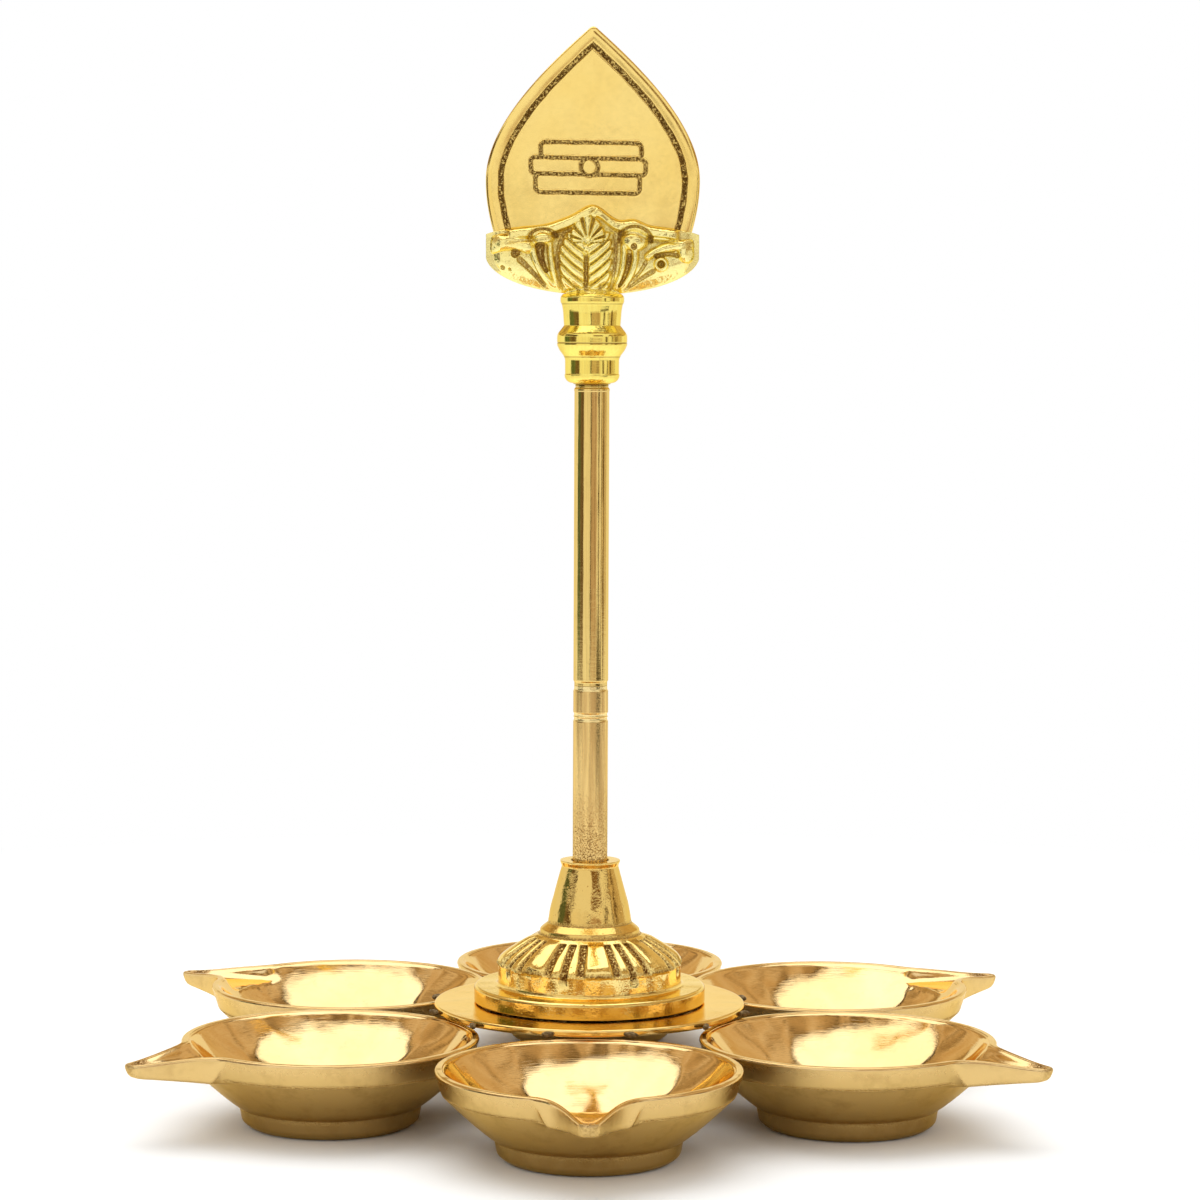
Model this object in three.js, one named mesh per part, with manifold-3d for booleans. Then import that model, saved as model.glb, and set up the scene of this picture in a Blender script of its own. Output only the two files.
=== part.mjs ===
// A six-wick brass oil lamp: six cups in a ring, a fluted bell, a stem in two lengths and a
// spearhead finial. Millimetres, +Z up. The origin is on the stem's axis, on the table.
// The front cup's spout points along -Y, and the spearhead's marked face looks that way too.

import * as THREE from 'three';
import { mergeVertices } from 'three/addons/utils/BufferGeometryUtils.js';
import Module from 'manifold-3d';

const wasm = await Module();
wasm.setup();

// Driving dimensions: gaps and threads
const seat = 0.3;               // gap between two pieces that touch
const threadPitch = 0.8;
const threadTurns = 12;         // turns that free a screw joint
const studRadius = 2.4;
const studHold = 10.5;          // length of stud that stays in the piece above
const boltRadius = 2.9;

// Driving dimensions: the cups
const cupCount = 6;
const rimRadius = 32.1;
const rimHeight = 18.9;
const lipWidth = 1.7;
const floorThickness = 3.9;     // brass under the deepest part of the bowl
const footRadius = 19.7;
const footTaper = 2.2;          // how far the sole lies inside the foot's top
const footHeight = 4.3;
const footRound = 1.2;          // height of the rounded edge under the foot
const rimBandHeight = 5;        // the turned band under the rim
const rimBandInset = 1.4;       // how far the band's lower edge lies inside the rim
const rimRound = 0.6;
const flankCurve = 1.15;        // 1 would be a straight cone between foot and band

// Driving dimensions: the spout of a cup, with heights measured down from the rim
const spoutReach = 15.9;        // from the rim to the tip
const spoutNose = 1.7;          // radius of the tip
const spoutSpread = THREE.MathUtils.degToRad(22);   // half angle at which it leaves the rim
const spoutWall = 1.1;          // wall at the tip
const spoutLipDrop = 1.6;
const channelRootDrop = 3.4;
const channelTipDrop = 2.6;
const keelRootDrop = 6.2;
const keelTipDrop = 4.4;
const channelSetback = 4.4;     // how far inside the bowl's edge the channel starts
const keelSetback = 3.1;        // how far inside the rim the underside leaves the flank
const lipSetback = 2;           // how far inside the rim the lip starts to fall
const spoutLeave = 0.31;        // pull of the spout's side curve where it leaves the rim
const spoutArrive = new THREE.Vector2(-0.55, 0.19); // and where it reaches the tip
const spoutNoseSetback = 0.75;  // how far behind the tip its rounding starts, in tip radii
const keelSharpness = 10;       // how late the underside turns up into the spout's wall
const channelSharpness = 5;     // how late the channel's floor does
const spoutBlend = 3;           // how soon along its side the rim has the spout's full section
const wallBlend = 1.5;          // how soon it has the spout's thinner wall

// Driving dimensions: disc, bell and clamp
const discLap = 2.4;            // how far the disc lies over the rims
const discThickness = 1.6;
const solderHalfLength = 1.5;
const solderRadius = 0.65;
const ringRadius = 25.9;        // the bell's step ring
const ringHeight = 3.65;        // to its outer edge
const ringSlope = 1.1;          // how much higher its top is at the band
const bandRadius = 20.5;        // the band that the dome stands on
const bandHeight = 3.85;
const domeTopRadius = 11.6;
const domeHeight = 6.5;
const lobeCount = 8;
const lobeTurn = THREE.MathUtils.degToRad(6);       // how far one lobe stands off the front
const lobeBulge = 0.9;
const lobeStart = 0.25;         // how full the lobes already are at the band
const fluteDepth = 1.1;
const domeCurve = 1.4;          // 1 would be a straight cone from band to bead
const beadRadius = 11.3;
const beadHeight = 2.6;
const beadSlope = 1.4;          // how much lower its edge is than its top, at the cone
const neckHeight = 3.3;         // the straight part at the cone's foot
const coneFootRadius = 9;
const coneTopWall = 2.1;        // the bell's wall around the stem's foot
const coneHeight = 9.2;
const collarWall = 2.5;
const collarHeight = 1.5;
const bellWall = 3.2;
const bellEdge = 0.4;           // its broken edges
const socketDepth = 2.5;        // how deep the stem's foot sits in the collar
const holeWeb = 2.4;            // metal left between two holes that face each other
const boltHeadWidth = 10;       // across the flats
const boltHeadHeight = 4;
const rodEdge = 0.4;            // the broken ends of bolt and studs
const washerRadius = 7;
const washerThickness = 1.2;

// Driving dimensions: the stem
const stemRadius = 3.9;
const lowerStemLength = 41.3;
const upperStemLength = 66.3;
const grooveDepth = 0.35;
const grooveWidth = 2;
const grooveBand = 4.8;         // the plain band between the two grooves
const stemRim = 0.12;           // the small rim at the top of the stem
const stemRimHeight = 0.7;

// Driving dimensions: the finial
const neckBottomStep = 0.3;     // how far the neck's foot stands out over the stem
const neckLowerRadius = 6.1;
const neckUpperRadius = 6.6;
const bulgeRadius = 7.8;
const flangeRadius = 7.1;
const neckUnderHeight = 2.3;    // the rounded underside
const neckLowerHeight = 4.1;
const bulgeLowerHeight = 3.1;
const bulgeUpperHeight = 3.8;
const neckUpperHeight = 4.8;
const flangeHeight = 1.7;
const flangeRound = 0.45;
const finialHalfWidth = 23.6;   // of the spearhead and of the crown
const crownEndHeight = 8.7;     // from the crown's bottom to its ends
const crownBandHeight = 15.2;   // from its bottom to the top band
const crownCrest = 5;           // the rise of the band over the middle leaf
const crownCrestWidth = 5.4;
const crownWall = 1.5;          // in front of the plate and behind it
const crownMidSwell = 2.3;      // how much more it stands out at the middle
const crownTrim = 1.5;          // half the width of the crown's top band
const crownFall = 2.9;          // how far that band falls towards the ends
const crownLipDraw = 0.5;       // how far its top edge is drawn back
const crownBelly = 0.4;         // the part of its height in which the underside rounds out
const crownLip = 0.12;          // how far the underside has already come out at its very edge
const crownEndTaper = 0.35;     // how suddenly the ends close
const crownEndFull = 1.6;       // how soon they are full
const crownReliefTaper = 4;     // how suddenly the ornament dies out at the ends
const leafPart = 0.28;          // the middle leaf's half width, as a part of the crown's
const leafProud = 1.3;          // how far leaf and knobs stand out
const stalkProud = 0.8;         // how far the band, stalks and curls stand out
const stalkPart = 0.2;          // where the stalks start, as a part of the half width
const knobPart = 0.43;          // where they end in the knobs
const knobRise = 0.83;          // the knobs' height, as a part of the band's
const knobRadius = 2.8;
const curlPart = 0.84;
const curlRise = 0.68;
const curlRadius = 3.4;
const bladeHeight = 53.4;       // the spearhead's flat plate, from its bottom to its tip
const bladeRise = 5.4;          // from the crown's bottom up to the plate
const bladeWidest = 19.5;       // from the plate's bottom to its widest place
const bladeFootInset = 4.8;     // how far its bottom corners lie inside the crown's ends
const bladeThickness = 5;
const bladeEdge = 1;            // the rounding of the plate's edge
const bladeTipRadius = 1.2;
const bladeLowerPull = 0.55;    // where the lower side curves most, from its foot to its widest
const bladeMiddlePull = 0.345;  // how far up from its widest the side stays full
const bladeUpperPull = 0.285;   // how far down from the tip it stays steep
const bladeShoulder = 0.43;     // how far out it is there, as a part of its half width
const bladeTipDrop = 0.6;       // how far below the tip its rounding starts, in tip radii
const borderWidth = 2.7;        // the raised border outside the groove
const borderGroove = 1;
const borderGrooveDepth = 0.6;
const tangWall = 2.1;           // from the tang's edges to the outside of the neck
const tangStep = 0.5;           // how much thinner it is than the plate, on each side

// Facets around the turned pieces
const fineTurn = 48;
const bellTurn = 40;
const plainTurn = 28;
const smallTurn = 16;
const solderFacets = 7;

// Places that follow from the sizes
const travel = threadPitch * threadTurns;
const ringDistance = (2 * rimRadius + seat) / (2 * Math.sin(Math.PI / cupCount));
const soleRadius = footRadius - footTaper;
const bowlRadius = rimRadius - lipWidth;
const bowlDepth = rimHeight - floorThickness;
const bowlSphere = (bowlRadius ** 2 + bowlDepth ** 2) / (2 * bowlDepth);
const bowlCentre = rimHeight - bowlDepth + bowlSphere;
const discRadius = ringDistance - rimRadius + discLap;
const discBottom = rimHeight + seat;
const discTop = discBottom + discThickness;
const bellBottom = discTop + seat;
const ringTop = bellBottom + ringHeight;
const bandFoot = ringTop + ringSlope;
const domeBottom = bandFoot + bandHeight;
const domeTop = domeBottom + domeHeight;
const beadTop = domeTop + beadHeight;
const neckTop = beadTop + neckHeight;
const coneTop = neckTop + coneHeight;
const collarTop = coneTop + collarHeight;
const coneTopRadius = stemRadius + seat + coneTopWall;
const collarRadius = stemRadius + seat + collarWall;
const stemFoot = collarTop - socketDepth + seat;
const stemHoleFoot = stemFoot - seat - travel - seat;
const boltTop = stemHoleFoot - holeWeb - seat;
const lowerStemTop = stemFoot + lowerStemLength;
const upperStemFoot = lowerStemTop + seat;
const upperStemTop = upperStemFoot + upperStemLength;
const neckFoot = upperStemTop + seat;
const bulgeFoot = neckFoot + neckUnderHeight + neckLowerHeight;
const bulgeMiddle = bulgeFoot + bulgeLowerHeight;
const bulgeTop = bulgeMiddle + bulgeUpperHeight;
const flangeFoot = bulgeTop + neckUpperHeight;
const flangeTop = flangeFoot + flangeHeight;
const crownFoot = flangeTop + seat;
const crownEndDepth = bladeThickness / 2 + seat + crownWall;
const crownMidDepth = crownEndDepth + crownMidSwell;
const bladeFoot = crownFoot + bladeRise;
const tangWidth = 2 * (neckUpperRadius - tangWall);
const tangThickness = bladeThickness - 2 * tangStep;
const tangFoot = neckFoot + studHold + seat + holeWeb;
const studBore = studRadius + seat;
const boltBore = boltRadius + seat;

// Working with shapes

// Merges shared corners and drops triangles that have closed up
function tidy(geometry) {
  geometry.deleteAttribute('normal');
  geometry.deleteAttribute('uv');
  const merged = mergeVertices(geometry, 1e-4);
  const kept = [];
  const index = merged.index.array;
  for (let i = 0; i < index.length; i += 3) {
    const [a, b, c] = [index[i], index[i + 1], index[i + 2]];
    if (a !== b && b !== c && c !== a) kept.push(a, b, c);
  }
  merged.setIndex(kept);
  return merged;
}

function solidOf(geometry) {
  const clean = tidy(geometry);
  return new wasm.Manifold(new wasm.Mesh({
    numProp: 3,
    vertProperties: new Float32Array(clean.attributes.position.array),
    triVerts: new Uint32Array(clean.index.array),
  }));
}

function geometryOf(solid) {
  const mesh = solid.getMesh();
  const geometry = new THREE.BufferGeometry();
  geometry.setAttribute('position', new THREE.BufferAttribute(mesh.vertProperties, 3));
  geometry.setIndex(new THREE.BufferAttribute(mesh.triVerts, 1));
  return geometry;
}

// A turned solid: its profile of [radius, height] runs up on the outside
function turned(profile, facets = plainTurn) {
  const points = profile.map(([radius, height]) => new THREE.Vector2(radius, height));
  return tidy(new THREE.LatheGeometry(points, facets).rotateX(Math.PI / 2));
}

// A turned solid whose profile closes on itself and stays off the axis
function turnedRing(profile, facets = plainTurn) {
  return turned([...profile, profile[0]], facets);
}

// A closed skin through rings of points, with one point at each end
function skin(start, rings, end) {
  const count = rings[0].length;
  const positions = [start, ...rings.flat(), end].flat();
  const at = (ring, i) => 1 + ring * count + (i % count);
  const last = rings.length - 1;
  const index = [];
  for (let i = 0; i < count; i++) {
    index.push(0, at(0, i + 1), at(0, i));
    for (let k = 0; k < last; k++) {
      index.push(at(k, i), at(k, i + 1), at(k + 1, i + 1));
      index.push(at(k, i), at(k + 1, i + 1), at(k + 1, i));
    }
    index.push(1 + rings.length * count, at(last, i), at(last, i + 1));
  }
  const geometry = new THREE.BufferGeometry();
  geometry.setAttribute('position', new THREE.Float32BufferAttribute(positions, 3));
  geometry.setIndex(index);
  return geometry;
}

const mix = THREE.MathUtils.lerp;
const smooth = (x) => THREE.MathUtils.smoothstep(x, 0, 1);

// The cups

// Height of a cup's outside at a distance from its axis
function flankHeight(radius) {
  const bandEdge = rimRadius - rimBandInset;
  if (radius > bandEdge) {
    const share = Math.min((radius - bandEdge) / rimBandInset, 1);
    return mix(rimHeight - rimBandHeight, rimHeight - rimRound, share);
  }
  const share = Math.max(radius - footRadius, 0) / (bandEdge - footRadius);
  return footHeight + (rimHeight - rimBandHeight - footHeight) * share ** flankCurve;
}

// Height of the bowl's inside, level with the rim outside the bowl
function bowlHeight(radius) {
  if (radius >= bowlRadius) return rimHeight;
  return bowlCentre - Math.sqrt(bowlSphere ** 2 - radius ** 2);
}

// The rim seen from above: a circle that runs out into the spout along +X.
// Each point has its place, the outward direction and how far out along the spout it is.
function rimOutline() {
  const circleSteps = 26;
  const sideSteps = 5;
  const tip = rimRadius + spoutReach;
  const leave = new THREE.Vector2(Math.cos(spoutSpread), Math.sin(spoutSpread));
  const onward = new THREE.Vector2(leave.y, -leave.x);
  const start = leave.clone().multiplyScalar(rimRadius);
  const end = new THREE.Vector2(tip - spoutNoseSetback * spoutNose, spoutNose);
  const side = new THREE.CubicBezierCurve(
    start,
    start.clone().addScaledVector(onward, spoutLeave * spoutReach),
    end.clone().addScaledVector(spoutArrive, spoutReach),
    end,
  );
  const outline = [];
  for (let i = 0; i < circleSteps; i++) {
    const angle = spoutSpread + (2 * (Math.PI - spoutSpread) * i) / circleSteps;
    const out = new THREE.Vector2(Math.cos(angle), Math.sin(angle));
    outline.push({ place: out.clone().multiplyScalar(rimRadius), out, share: 0 });
  }
  const left = [];
  const right = [];
  for (let i = 0; i <= sideSteps; i++) {
    const share = i / sideSteps;
    const { x, y } = side.getPoint(share);
    const along = side.getTangent(share);
    left.push({ place: new THREE.Vector2(x, y), out: new THREE.Vector2(-along.y, along.x), share });
    right.push({ place: new THREE.Vector2(x, -y), out: new THREE.Vector2(-along.y, -along.x), share });
  }
  const nose = { place: new THREE.Vector2(tip, 0), out: new THREE.Vector2(1, 0), share: 1 };
  outline.push(...right, nose, ...left.slice(1).reverse());
  return outline;
}

// Where the rings of a cup's skin lie, as parts of the way across each stretch
const flankRings = [0.4, 0.8, 1];
const underRings = [0.5, 0.93, 1];
const insideRings = [0.88, 0.45, 0];
const bowlRings = [0.77, 0.52, 0.26];
const lipEdge = 0.3;            // where the flat of the lip starts, as a part of the wall
const lipBreak = 0.1;           // the broken inner edge of the lip
const footRoundPart = 0.75;     // how far out the foot's rounded edge reaches

function cup() {
  const outline = rimOutline();
  const tip = rimRadius + spoutReach;
  const keelStart = rimRadius - keelSetback;
  const channelStart = bowlRadius - channelSetback;

  // How far out a point is between the bowl's wall and the spout's tip
  const outward = (radius, start) => THREE.MathUtils.clamp((radius - start) / (tip - start), 0, 1);
  const lipStart = rimRadius - lipSetback;
  const lipHeight = (radius) => rimHeight - spoutLipDrop * smooth(outward(radius, lipStart));
  const wayOut = (radius, start, edge) => THREE.MathUtils.clamp((radius - start) / (edge - start), 0, 1);

  // Underside at a distance out, on the way to an outline point at the edge distance
  function under(radius, edge, share) {
    const keel = rimHeight - mix(keelRootDrop, keelTipDrop, outward(radius, keelStart));
    const rise = wayOut(radius, keelStart, edge) ** keelSharpness;
    const hull = mix(keel, lipHeight(edge) - rimRound, rise);
    const plain = Math.min(flankHeight(radius), lipHeight(edge) - rimRound);
    return mix(plain, Math.min(flankHeight(radius), hull), smooth(share * spoutBlend));
  }

  // Inside, the same way
  function inside(radius, edge, share) {
    const floor = rimHeight - mix(channelRootDrop, channelTipDrop, outward(radius, channelStart));
    const rise = wayOut(radius, channelStart, edge) ** channelSharpness;
    const channel = mix(floor, lipHeight(edge), rise);
    const plain = Math.min(bowlHeight(radius), lipHeight(edge));
    return mix(plain, Math.min(bowlHeight(radius), channel), smooth(share * spoutBlend));
  }

  const spot = (direction, radius, height) => [direction.x * radius, direction.y * radius, height];
  const columns = outline.map(({ place, out, share }) => {
    const wall = mix(lipWidth, spoutWall, smooth(share * wallBlend));
    const inner = place.clone().addScaledVector(out, -wall);
    const topOuter = place.clone().addScaledVector(out, -lipEdge * wall);
    const edge = place.length();
    const innerEdge = inner.length();
    const outerWay = place.clone().normalize();
    const innerWay = inner.clone().normalize();
    const lip = lipHeight(edge);
    const column = [
      spot(outerWay, soleRadius, 0),
      spot(outerWay, mix(soleRadius, footRadius, footRoundPart), footRound),
      spot(outerWay, footRadius, footHeight),
    ];
    const flankStart = keelStart - footRadius;
    for (const part of flankRings) {
      const radius = footRadius + flankStart * part;
      column.push(spot(outerWay, radius, under(radius, edge, share)));
    }
    for (const part of underRings) {
      const radius = mix(keelStart, edge, part);
      column.push(spot(outerWay, radius, under(radius, edge, share)));
    }
    column.push([topOuter.x, topOuter.y, lip], [inner.x, inner.y, lip - lipBreak]);
    for (const part of insideRings) {
      const radius = mix(channelStart, innerEdge, part);
      column.push(spot(innerWay, radius, inside(radius, innerEdge, share)));
    }
    for (const part of bowlRings) {
      const radius = channelStart * part;
      column.push(spot(innerWay, radius, bowlHeight(radius)));
    }
    return column;
  });
  const rings = columns[0].map((_, level) => columns.map((column) => column[level]));
  return skin([0, 0, 0], rings, [0, 0, bowlHeight(0)]);
}

// A solder lump in the corner between a cup's lip and the disc's edge, where the rim comes
// out from under the disc. The side is 1 or -1. It is placed in the cup's own frame.
function solder(side) {
  const lipMiddle = rimRadius - lipWidth / 2;
  const reach = discRadius + seat + solderRadius;
  const cosine = (ringDistance ** 2 + lipMiddle ** 2 - reach ** 2) / (2 * ringDistance * lipMiddle);
  const lump = new THREE.SphereGeometry(1, solderFacets, solderFacets - 2);
  lump.scale(solderRadius, solderHalfLength, solderRadius);
  lump.translate(-lipMiddle, 0, rimHeight + seat + solderRadius);
  lump.rotateZ(side * Math.acos(cosine));
  return tidy(lump);
}

// Disc, bell and clamp

function centreDisc() {
  const round = discThickness / 4;
  return turnedRing([
    [boltBore, discBottom],
    [discRadius - round, discBottom],
    [discRadius, discBottom + round],
    [discRadius, discTop - round],
    [discRadius - round, discTop],
    [boltBore, discTop],
  ], fineTurn);
}

// The lobed and fluted skin of the dome: each lobe is followed by three narrow flutes
function flutedDome() {
  const period = (2 * Math.PI) / lobeCount;
  // Place across one period, how far it bulges, and how deep it is cut
  const section = [
    [0.31, 0, 0], [0.38, 0.8, 0], [0.5, 1, 0], [0.62, 0.8, 0], [0.69, 0, 0],
    [0.76, 0, 1], [0.88, 0, 0], [1, 0, 1], [1.12, 0, 0], [1.24, 0, 1],
  ];
  const round = [];
  for (let i = 0; i < lobeCount; i++) {
    for (const [across, bulge, cut] of section) {
      round.push({ angle: -Math.PI / 2 + lobeTurn + period * (i + across - 0.5), bulge, cut });
    }
  }
  // Height, how full the lobes are, and how deep the flutes
  const levels = [[0, lobeStart, 0.6], [0.1, 0.7, 1], [0.4, 1, 1], [0.75, 0.6, 1], [1, 0, 0]];
  const rings = levels.map(([level, full, deep]) => {
    const radius = mix(bandRadius, domeTopRadius, level ** domeCurve);
    return round.map(({ angle, bulge, cut }) => {
      const out = radius + full * lobeBulge * bulge - deep * fluteDepth * cut;
      return [out * Math.cos(angle), out * Math.sin(angle), mix(domeBottom, domeTop, level)];
    });
  });
  return skin([0, 0, domeBottom], rings, [0, 0, domeTop]);
}

function flutedBell() {
  const core = solidOf(turned([
    [0, bellBottom],
    [ringRadius - bellEdge, bellBottom],
    [ringRadius, bellBottom + bellEdge],
    [ringRadius, ringTop - bellEdge],
    [ringRadius - bellEdge, ringTop],
    [bandRadius, bandFoot],
    [bandRadius, domeBottom],
    [domeTopRadius - fluteDepth, domeTop],
    [beadRadius - bellEdge, domeTop],
    [beadRadius, domeTop + bellEdge],
    [beadRadius, beadTop - beadSlope],
    [coneFootRadius, beadTop],
    [coneFootRadius, neckTop],
    [coneTopRadius, coneTop],
    [collarRadius, mix(coneTop, collarTop, 0.5)],
    [collarRadius, collarTop],
    [0, collarTop],
  ], bellTurn));
  const boss = boltBore + bellWall;
  const hollow = solidOf(turnedRing([
    [boss, bellBottom - 1],
    [ringRadius - bellWall, bellBottom - 1],
    [ringRadius - bellWall, ringTop - bellWall],
    [bandRadius - bellWall, bandFoot],
    [bandRadius - bellWall, domeBottom - bellWall / 2],
    [boss + bellEdge, domeTop - bellWall],
    [boss, domeTop - bellWall - bellEdge],
  ], smallTurn));
  const boltHole = solidOf(turned([
    [0, bellBottom - 1],
    [boltBore, bellBottom - 1],
    [boltBore, boltTop + seat],
    [0, boltTop + seat],
  ], smallTurn));
  const stemHole = solidOf(turned([
    [0, stemHoleFoot],
    [studBore, stemHoleFoot],
    [studBore, collarTop - socketDepth],
    [stemRadius + seat, collarTop - socketDepth],
    [stemRadius + seat, collarTop + 1],
    [0, collarTop + 1],
  ], plainTurn));
  const whole = core.add(solidOf(flutedDome()));
  return geometryOf(whole.subtract(hollow).subtract(boltHole).subtract(stemHole));
}

function clampBolt() {
  const headTop = discBottom - 2 * seat - washerThickness;
  const head = new THREE.CylinderGeometry(1, 1, boltHeadHeight, 6).rotateX(Math.PI / 2);
  const headRadius = boltHeadWidth / Math.sqrt(3);
  head.scale(headRadius, headRadius, 1);
  head.translate(0, 0, headTop - boltHeadHeight / 2);
  const shank = turned([
    [0, headTop - 1],
    [boltRadius, headTop - 1],
    [boltRadius, boltTop - rodEdge],
    [boltRadius - rodEdge, boltTop],
    [0, boltTop],
  ], smallTurn);
  return geometryOf(solidOf(head).add(solidOf(shank)));
}

function clampWasher() {
  const top = discBottom - seat;
  return turnedRing([
    [boltBore, top - washerThickness],
    [washerRadius, top - washerThickness],
    [washerRadius, top],
    [boltBore, top],
  ], smallTurn);
}

// The stem

// A stud that reaches one travel down into the piece below a joint
function stud(seatHeight, reachAbove) {
  const bottom = seatHeight - travel;
  const top = seatHeight + seat + reachAbove;
  return turned([
    [0, bottom],
    [studRadius - rodEdge, bottom],
    [studRadius, bottom + rodEdge],
    [studRadius, top - rodEdge],
    [studRadius - rodEdge, top],
    [0, top],
  ], smallTurn);
}

function lowerStem() {
  const cut = stemRadius - grooveDepth;
  const upperGroove = lowerStemTop - grooveWidth / 2;
  const lowerGroove = upperGroove - grooveBand - grooveWidth;
  return turned([
    [0, stemFoot + studHold + seat],
    [studBore, stemFoot + studHold + seat],
    [studBore, stemFoot],
    [cut, stemFoot],
    [stemRadius, stemFoot + grooveDepth],
    [stemRadius, lowerGroove],
    [cut, lowerGroove + grooveDepth],
    [cut, lowerGroove + grooveWidth - grooveDepth],
    [stemRadius, lowerGroove + grooveWidth],
    [stemRadius, upperGroove],
    [cut, upperGroove + grooveDepth],
    [cut, lowerStemTop],
    [studBore, lowerStemTop],
    [studBore, lowerStemTop - travel - seat],
    [0, lowerStemTop - travel - seat],
  ]);
}

function upperStem() {
  const cut = stemRadius - grooveDepth;
  const plainFoot = upperStemFoot + grooveWidth / 2;
  return turned([
    [0, upperStemFoot + studHold + seat],
    [studBore, upperStemFoot + studHold + seat],
    [studBore, upperStemFoot],
    [cut, upperStemFoot],
    [cut, plainFoot - grooveDepth],
    [stemRadius, plainFoot],
    [stemRadius, upperStemTop - stemRimHeight - stemRim],
    [stemRadius + stemRim, upperStemTop - stemRimHeight],
    [stemRadius + stemRim, upperStemTop - grooveDepth],
    [cut, upperStemTop],
    [studBore, upperStemTop],
    [studBore, upperStemTop - travel - seat],
    [0, upperStemTop - travel - seat],
  ]);
}

// The finial

function tangBox(clearance, bottom, top) {
  const box = new THREE.BoxGeometry(
    tangWidth + 2 * clearance, tangThickness + 2 * clearance, top - bottom);
  return box.translate(0, 0, (top + bottom) / 2);
}

function finialSocket() {
  const lowerFoot = neckFoot + neckUnderHeight;
  const neckFootRadius = stemRadius + neckBottomStep;
  const profile = [
    [0, neckFoot + studHold + seat],
    [studBore, neckFoot + studHold + seat],
    [studBore, neckFoot],
  ];
  const quarterTurns = [0, 0.35, 0.7, 1].map((part) => (part * Math.PI) / 2);
  for (const turn of quarterTurns) {
    profile.push([
      mix(neckFootRadius, neckLowerRadius, Math.sin(turn)),
      mix(neckFoot, lowerFoot, 1 - Math.cos(turn)),
    ]);
  }
  profile.push([neckLowerRadius, bulgeFoot]);
  for (const turn of quarterTurns.slice(1, -1)) {
    profile.push([
      mix(neckLowerRadius, bulgeRadius, Math.sin(turn)),
      mix(bulgeFoot, bulgeMiddle, 1 - Math.cos(turn)),
    ]);
  }
  for (const turn of quarterTurns) {
    profile.push([
      mix(neckUpperRadius, bulgeRadius, Math.cos(turn)),
      mix(bulgeMiddle, bulgeTop, Math.sin(turn)),
    ]);
  }
  profile.push(
    [neckUpperRadius, flangeFoot],
    [flangeRadius, flangeFoot + flangeRound],
    [flangeRadius, flangeTop - flangeRound],
    [flangeRadius - flangeRound, flangeTop],
    [0, flangeTop],
  );
  const slot = solidOf(tangBox(seat, tangFoot - seat, flangeTop + 1));
  return geometryOf(solidOf(turned(profile)).subtract(slot));
}

// The spearhead's outline, drawn in by an inset
function bladeShape(inset) {
  const half = finialHalfWidth - inset;
  const tip = bladeFoot + bladeHeight - inset * Math.SQRT2;
  const bottom = bladeFoot + inset;
  const widest = bladeFoot + bladeWidest;
  const foot = finialHalfWidth - bladeFootInset - inset;
  const pull = mix(bottom, widest, bladeLowerPull);
  const full = widest + bladeMiddlePull * (tip - widest);
  const steep = tip - bladeUpperPull * (tip - widest);
  const shoulder = bladeTipRadius + bladeShoulder * half;
  const nose = tip - bladeTipDrop * bladeTipRadius;
  const shape = new THREE.Shape();
  shape.moveTo(-foot, bottom);
  shape.lineTo(foot, bottom);
  shape.quadraticCurveTo(half, pull, half, widest);
  shape.bezierCurveTo(half, full, shoulder, steep, bladeTipRadius, nose);
  shape.lineTo(0, tip);
  shape.lineTo(-bladeTipRadius, nose);
  shape.bezierCurveTo(-shoulder, steep, -half, full, -half, widest);
  shape.quadraticCurveTo(-half, pull, -foot, bottom);
  return shape;
}

// A slab of an outline that stands in the XZ plane, between two depths along Y
function standing(shape, near, far, bevel = 0) {
  const slab = new THREE.ExtrudeGeometry(shape, {
    depth: far - near - 2 * bevel,
    curveSegments: 9,
    bevelEnabled: bevel > 0,
    bevelThickness: bevel,
    bevelSize: bevel,
    bevelOffset: -bevel,
    bevelSegments: 1,
  });
  return slab.rotateX(Math.PI / 2).translate(0, far - bevel, 0);
}

function spearhead() {
  const half = bladeThickness / 2;
  const groove = (near, far) => solidOf(standing(bladeShape(borderWidth), near, far))
    .subtract(solidOf(standing(bladeShape(borderWidth + borderGroove), near - 1, far + 1)));
  const tang = solidOf(tangBox(0, tangFoot, bladeFoot + 1));
  return geometryOf(solidOf(standing(bladeShape(0), -half, half, bladeEdge))
    .add(tang)
    .subtract(groove(-half - 1, -half + borderGrooveDepth))
    .subtract(groove(half - borderGrooveDepth, half + 1)));
}

// The crown's own heights, from its bottom up
function crownBottom(x) {
  return crownEndHeight * (1 - Math.sqrt(Math.max(1 - (x / finialHalfWidth) ** 2, 0)));
}

function crownTop(x) {
  const fall = crownFall * (Math.abs(x) / finialHalfWidth) ** 4;
  return crownBandHeight - fall + crownCrest * Math.exp(-((x / crownCrestWidth) ** 2));
}

// A smooth bump that is 1 in the middle and 0 from its radius outwards
const bump = (distance, radius) => Math.max(1 - (distance / radius) ** 2, 0) ** 1.5;

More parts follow.
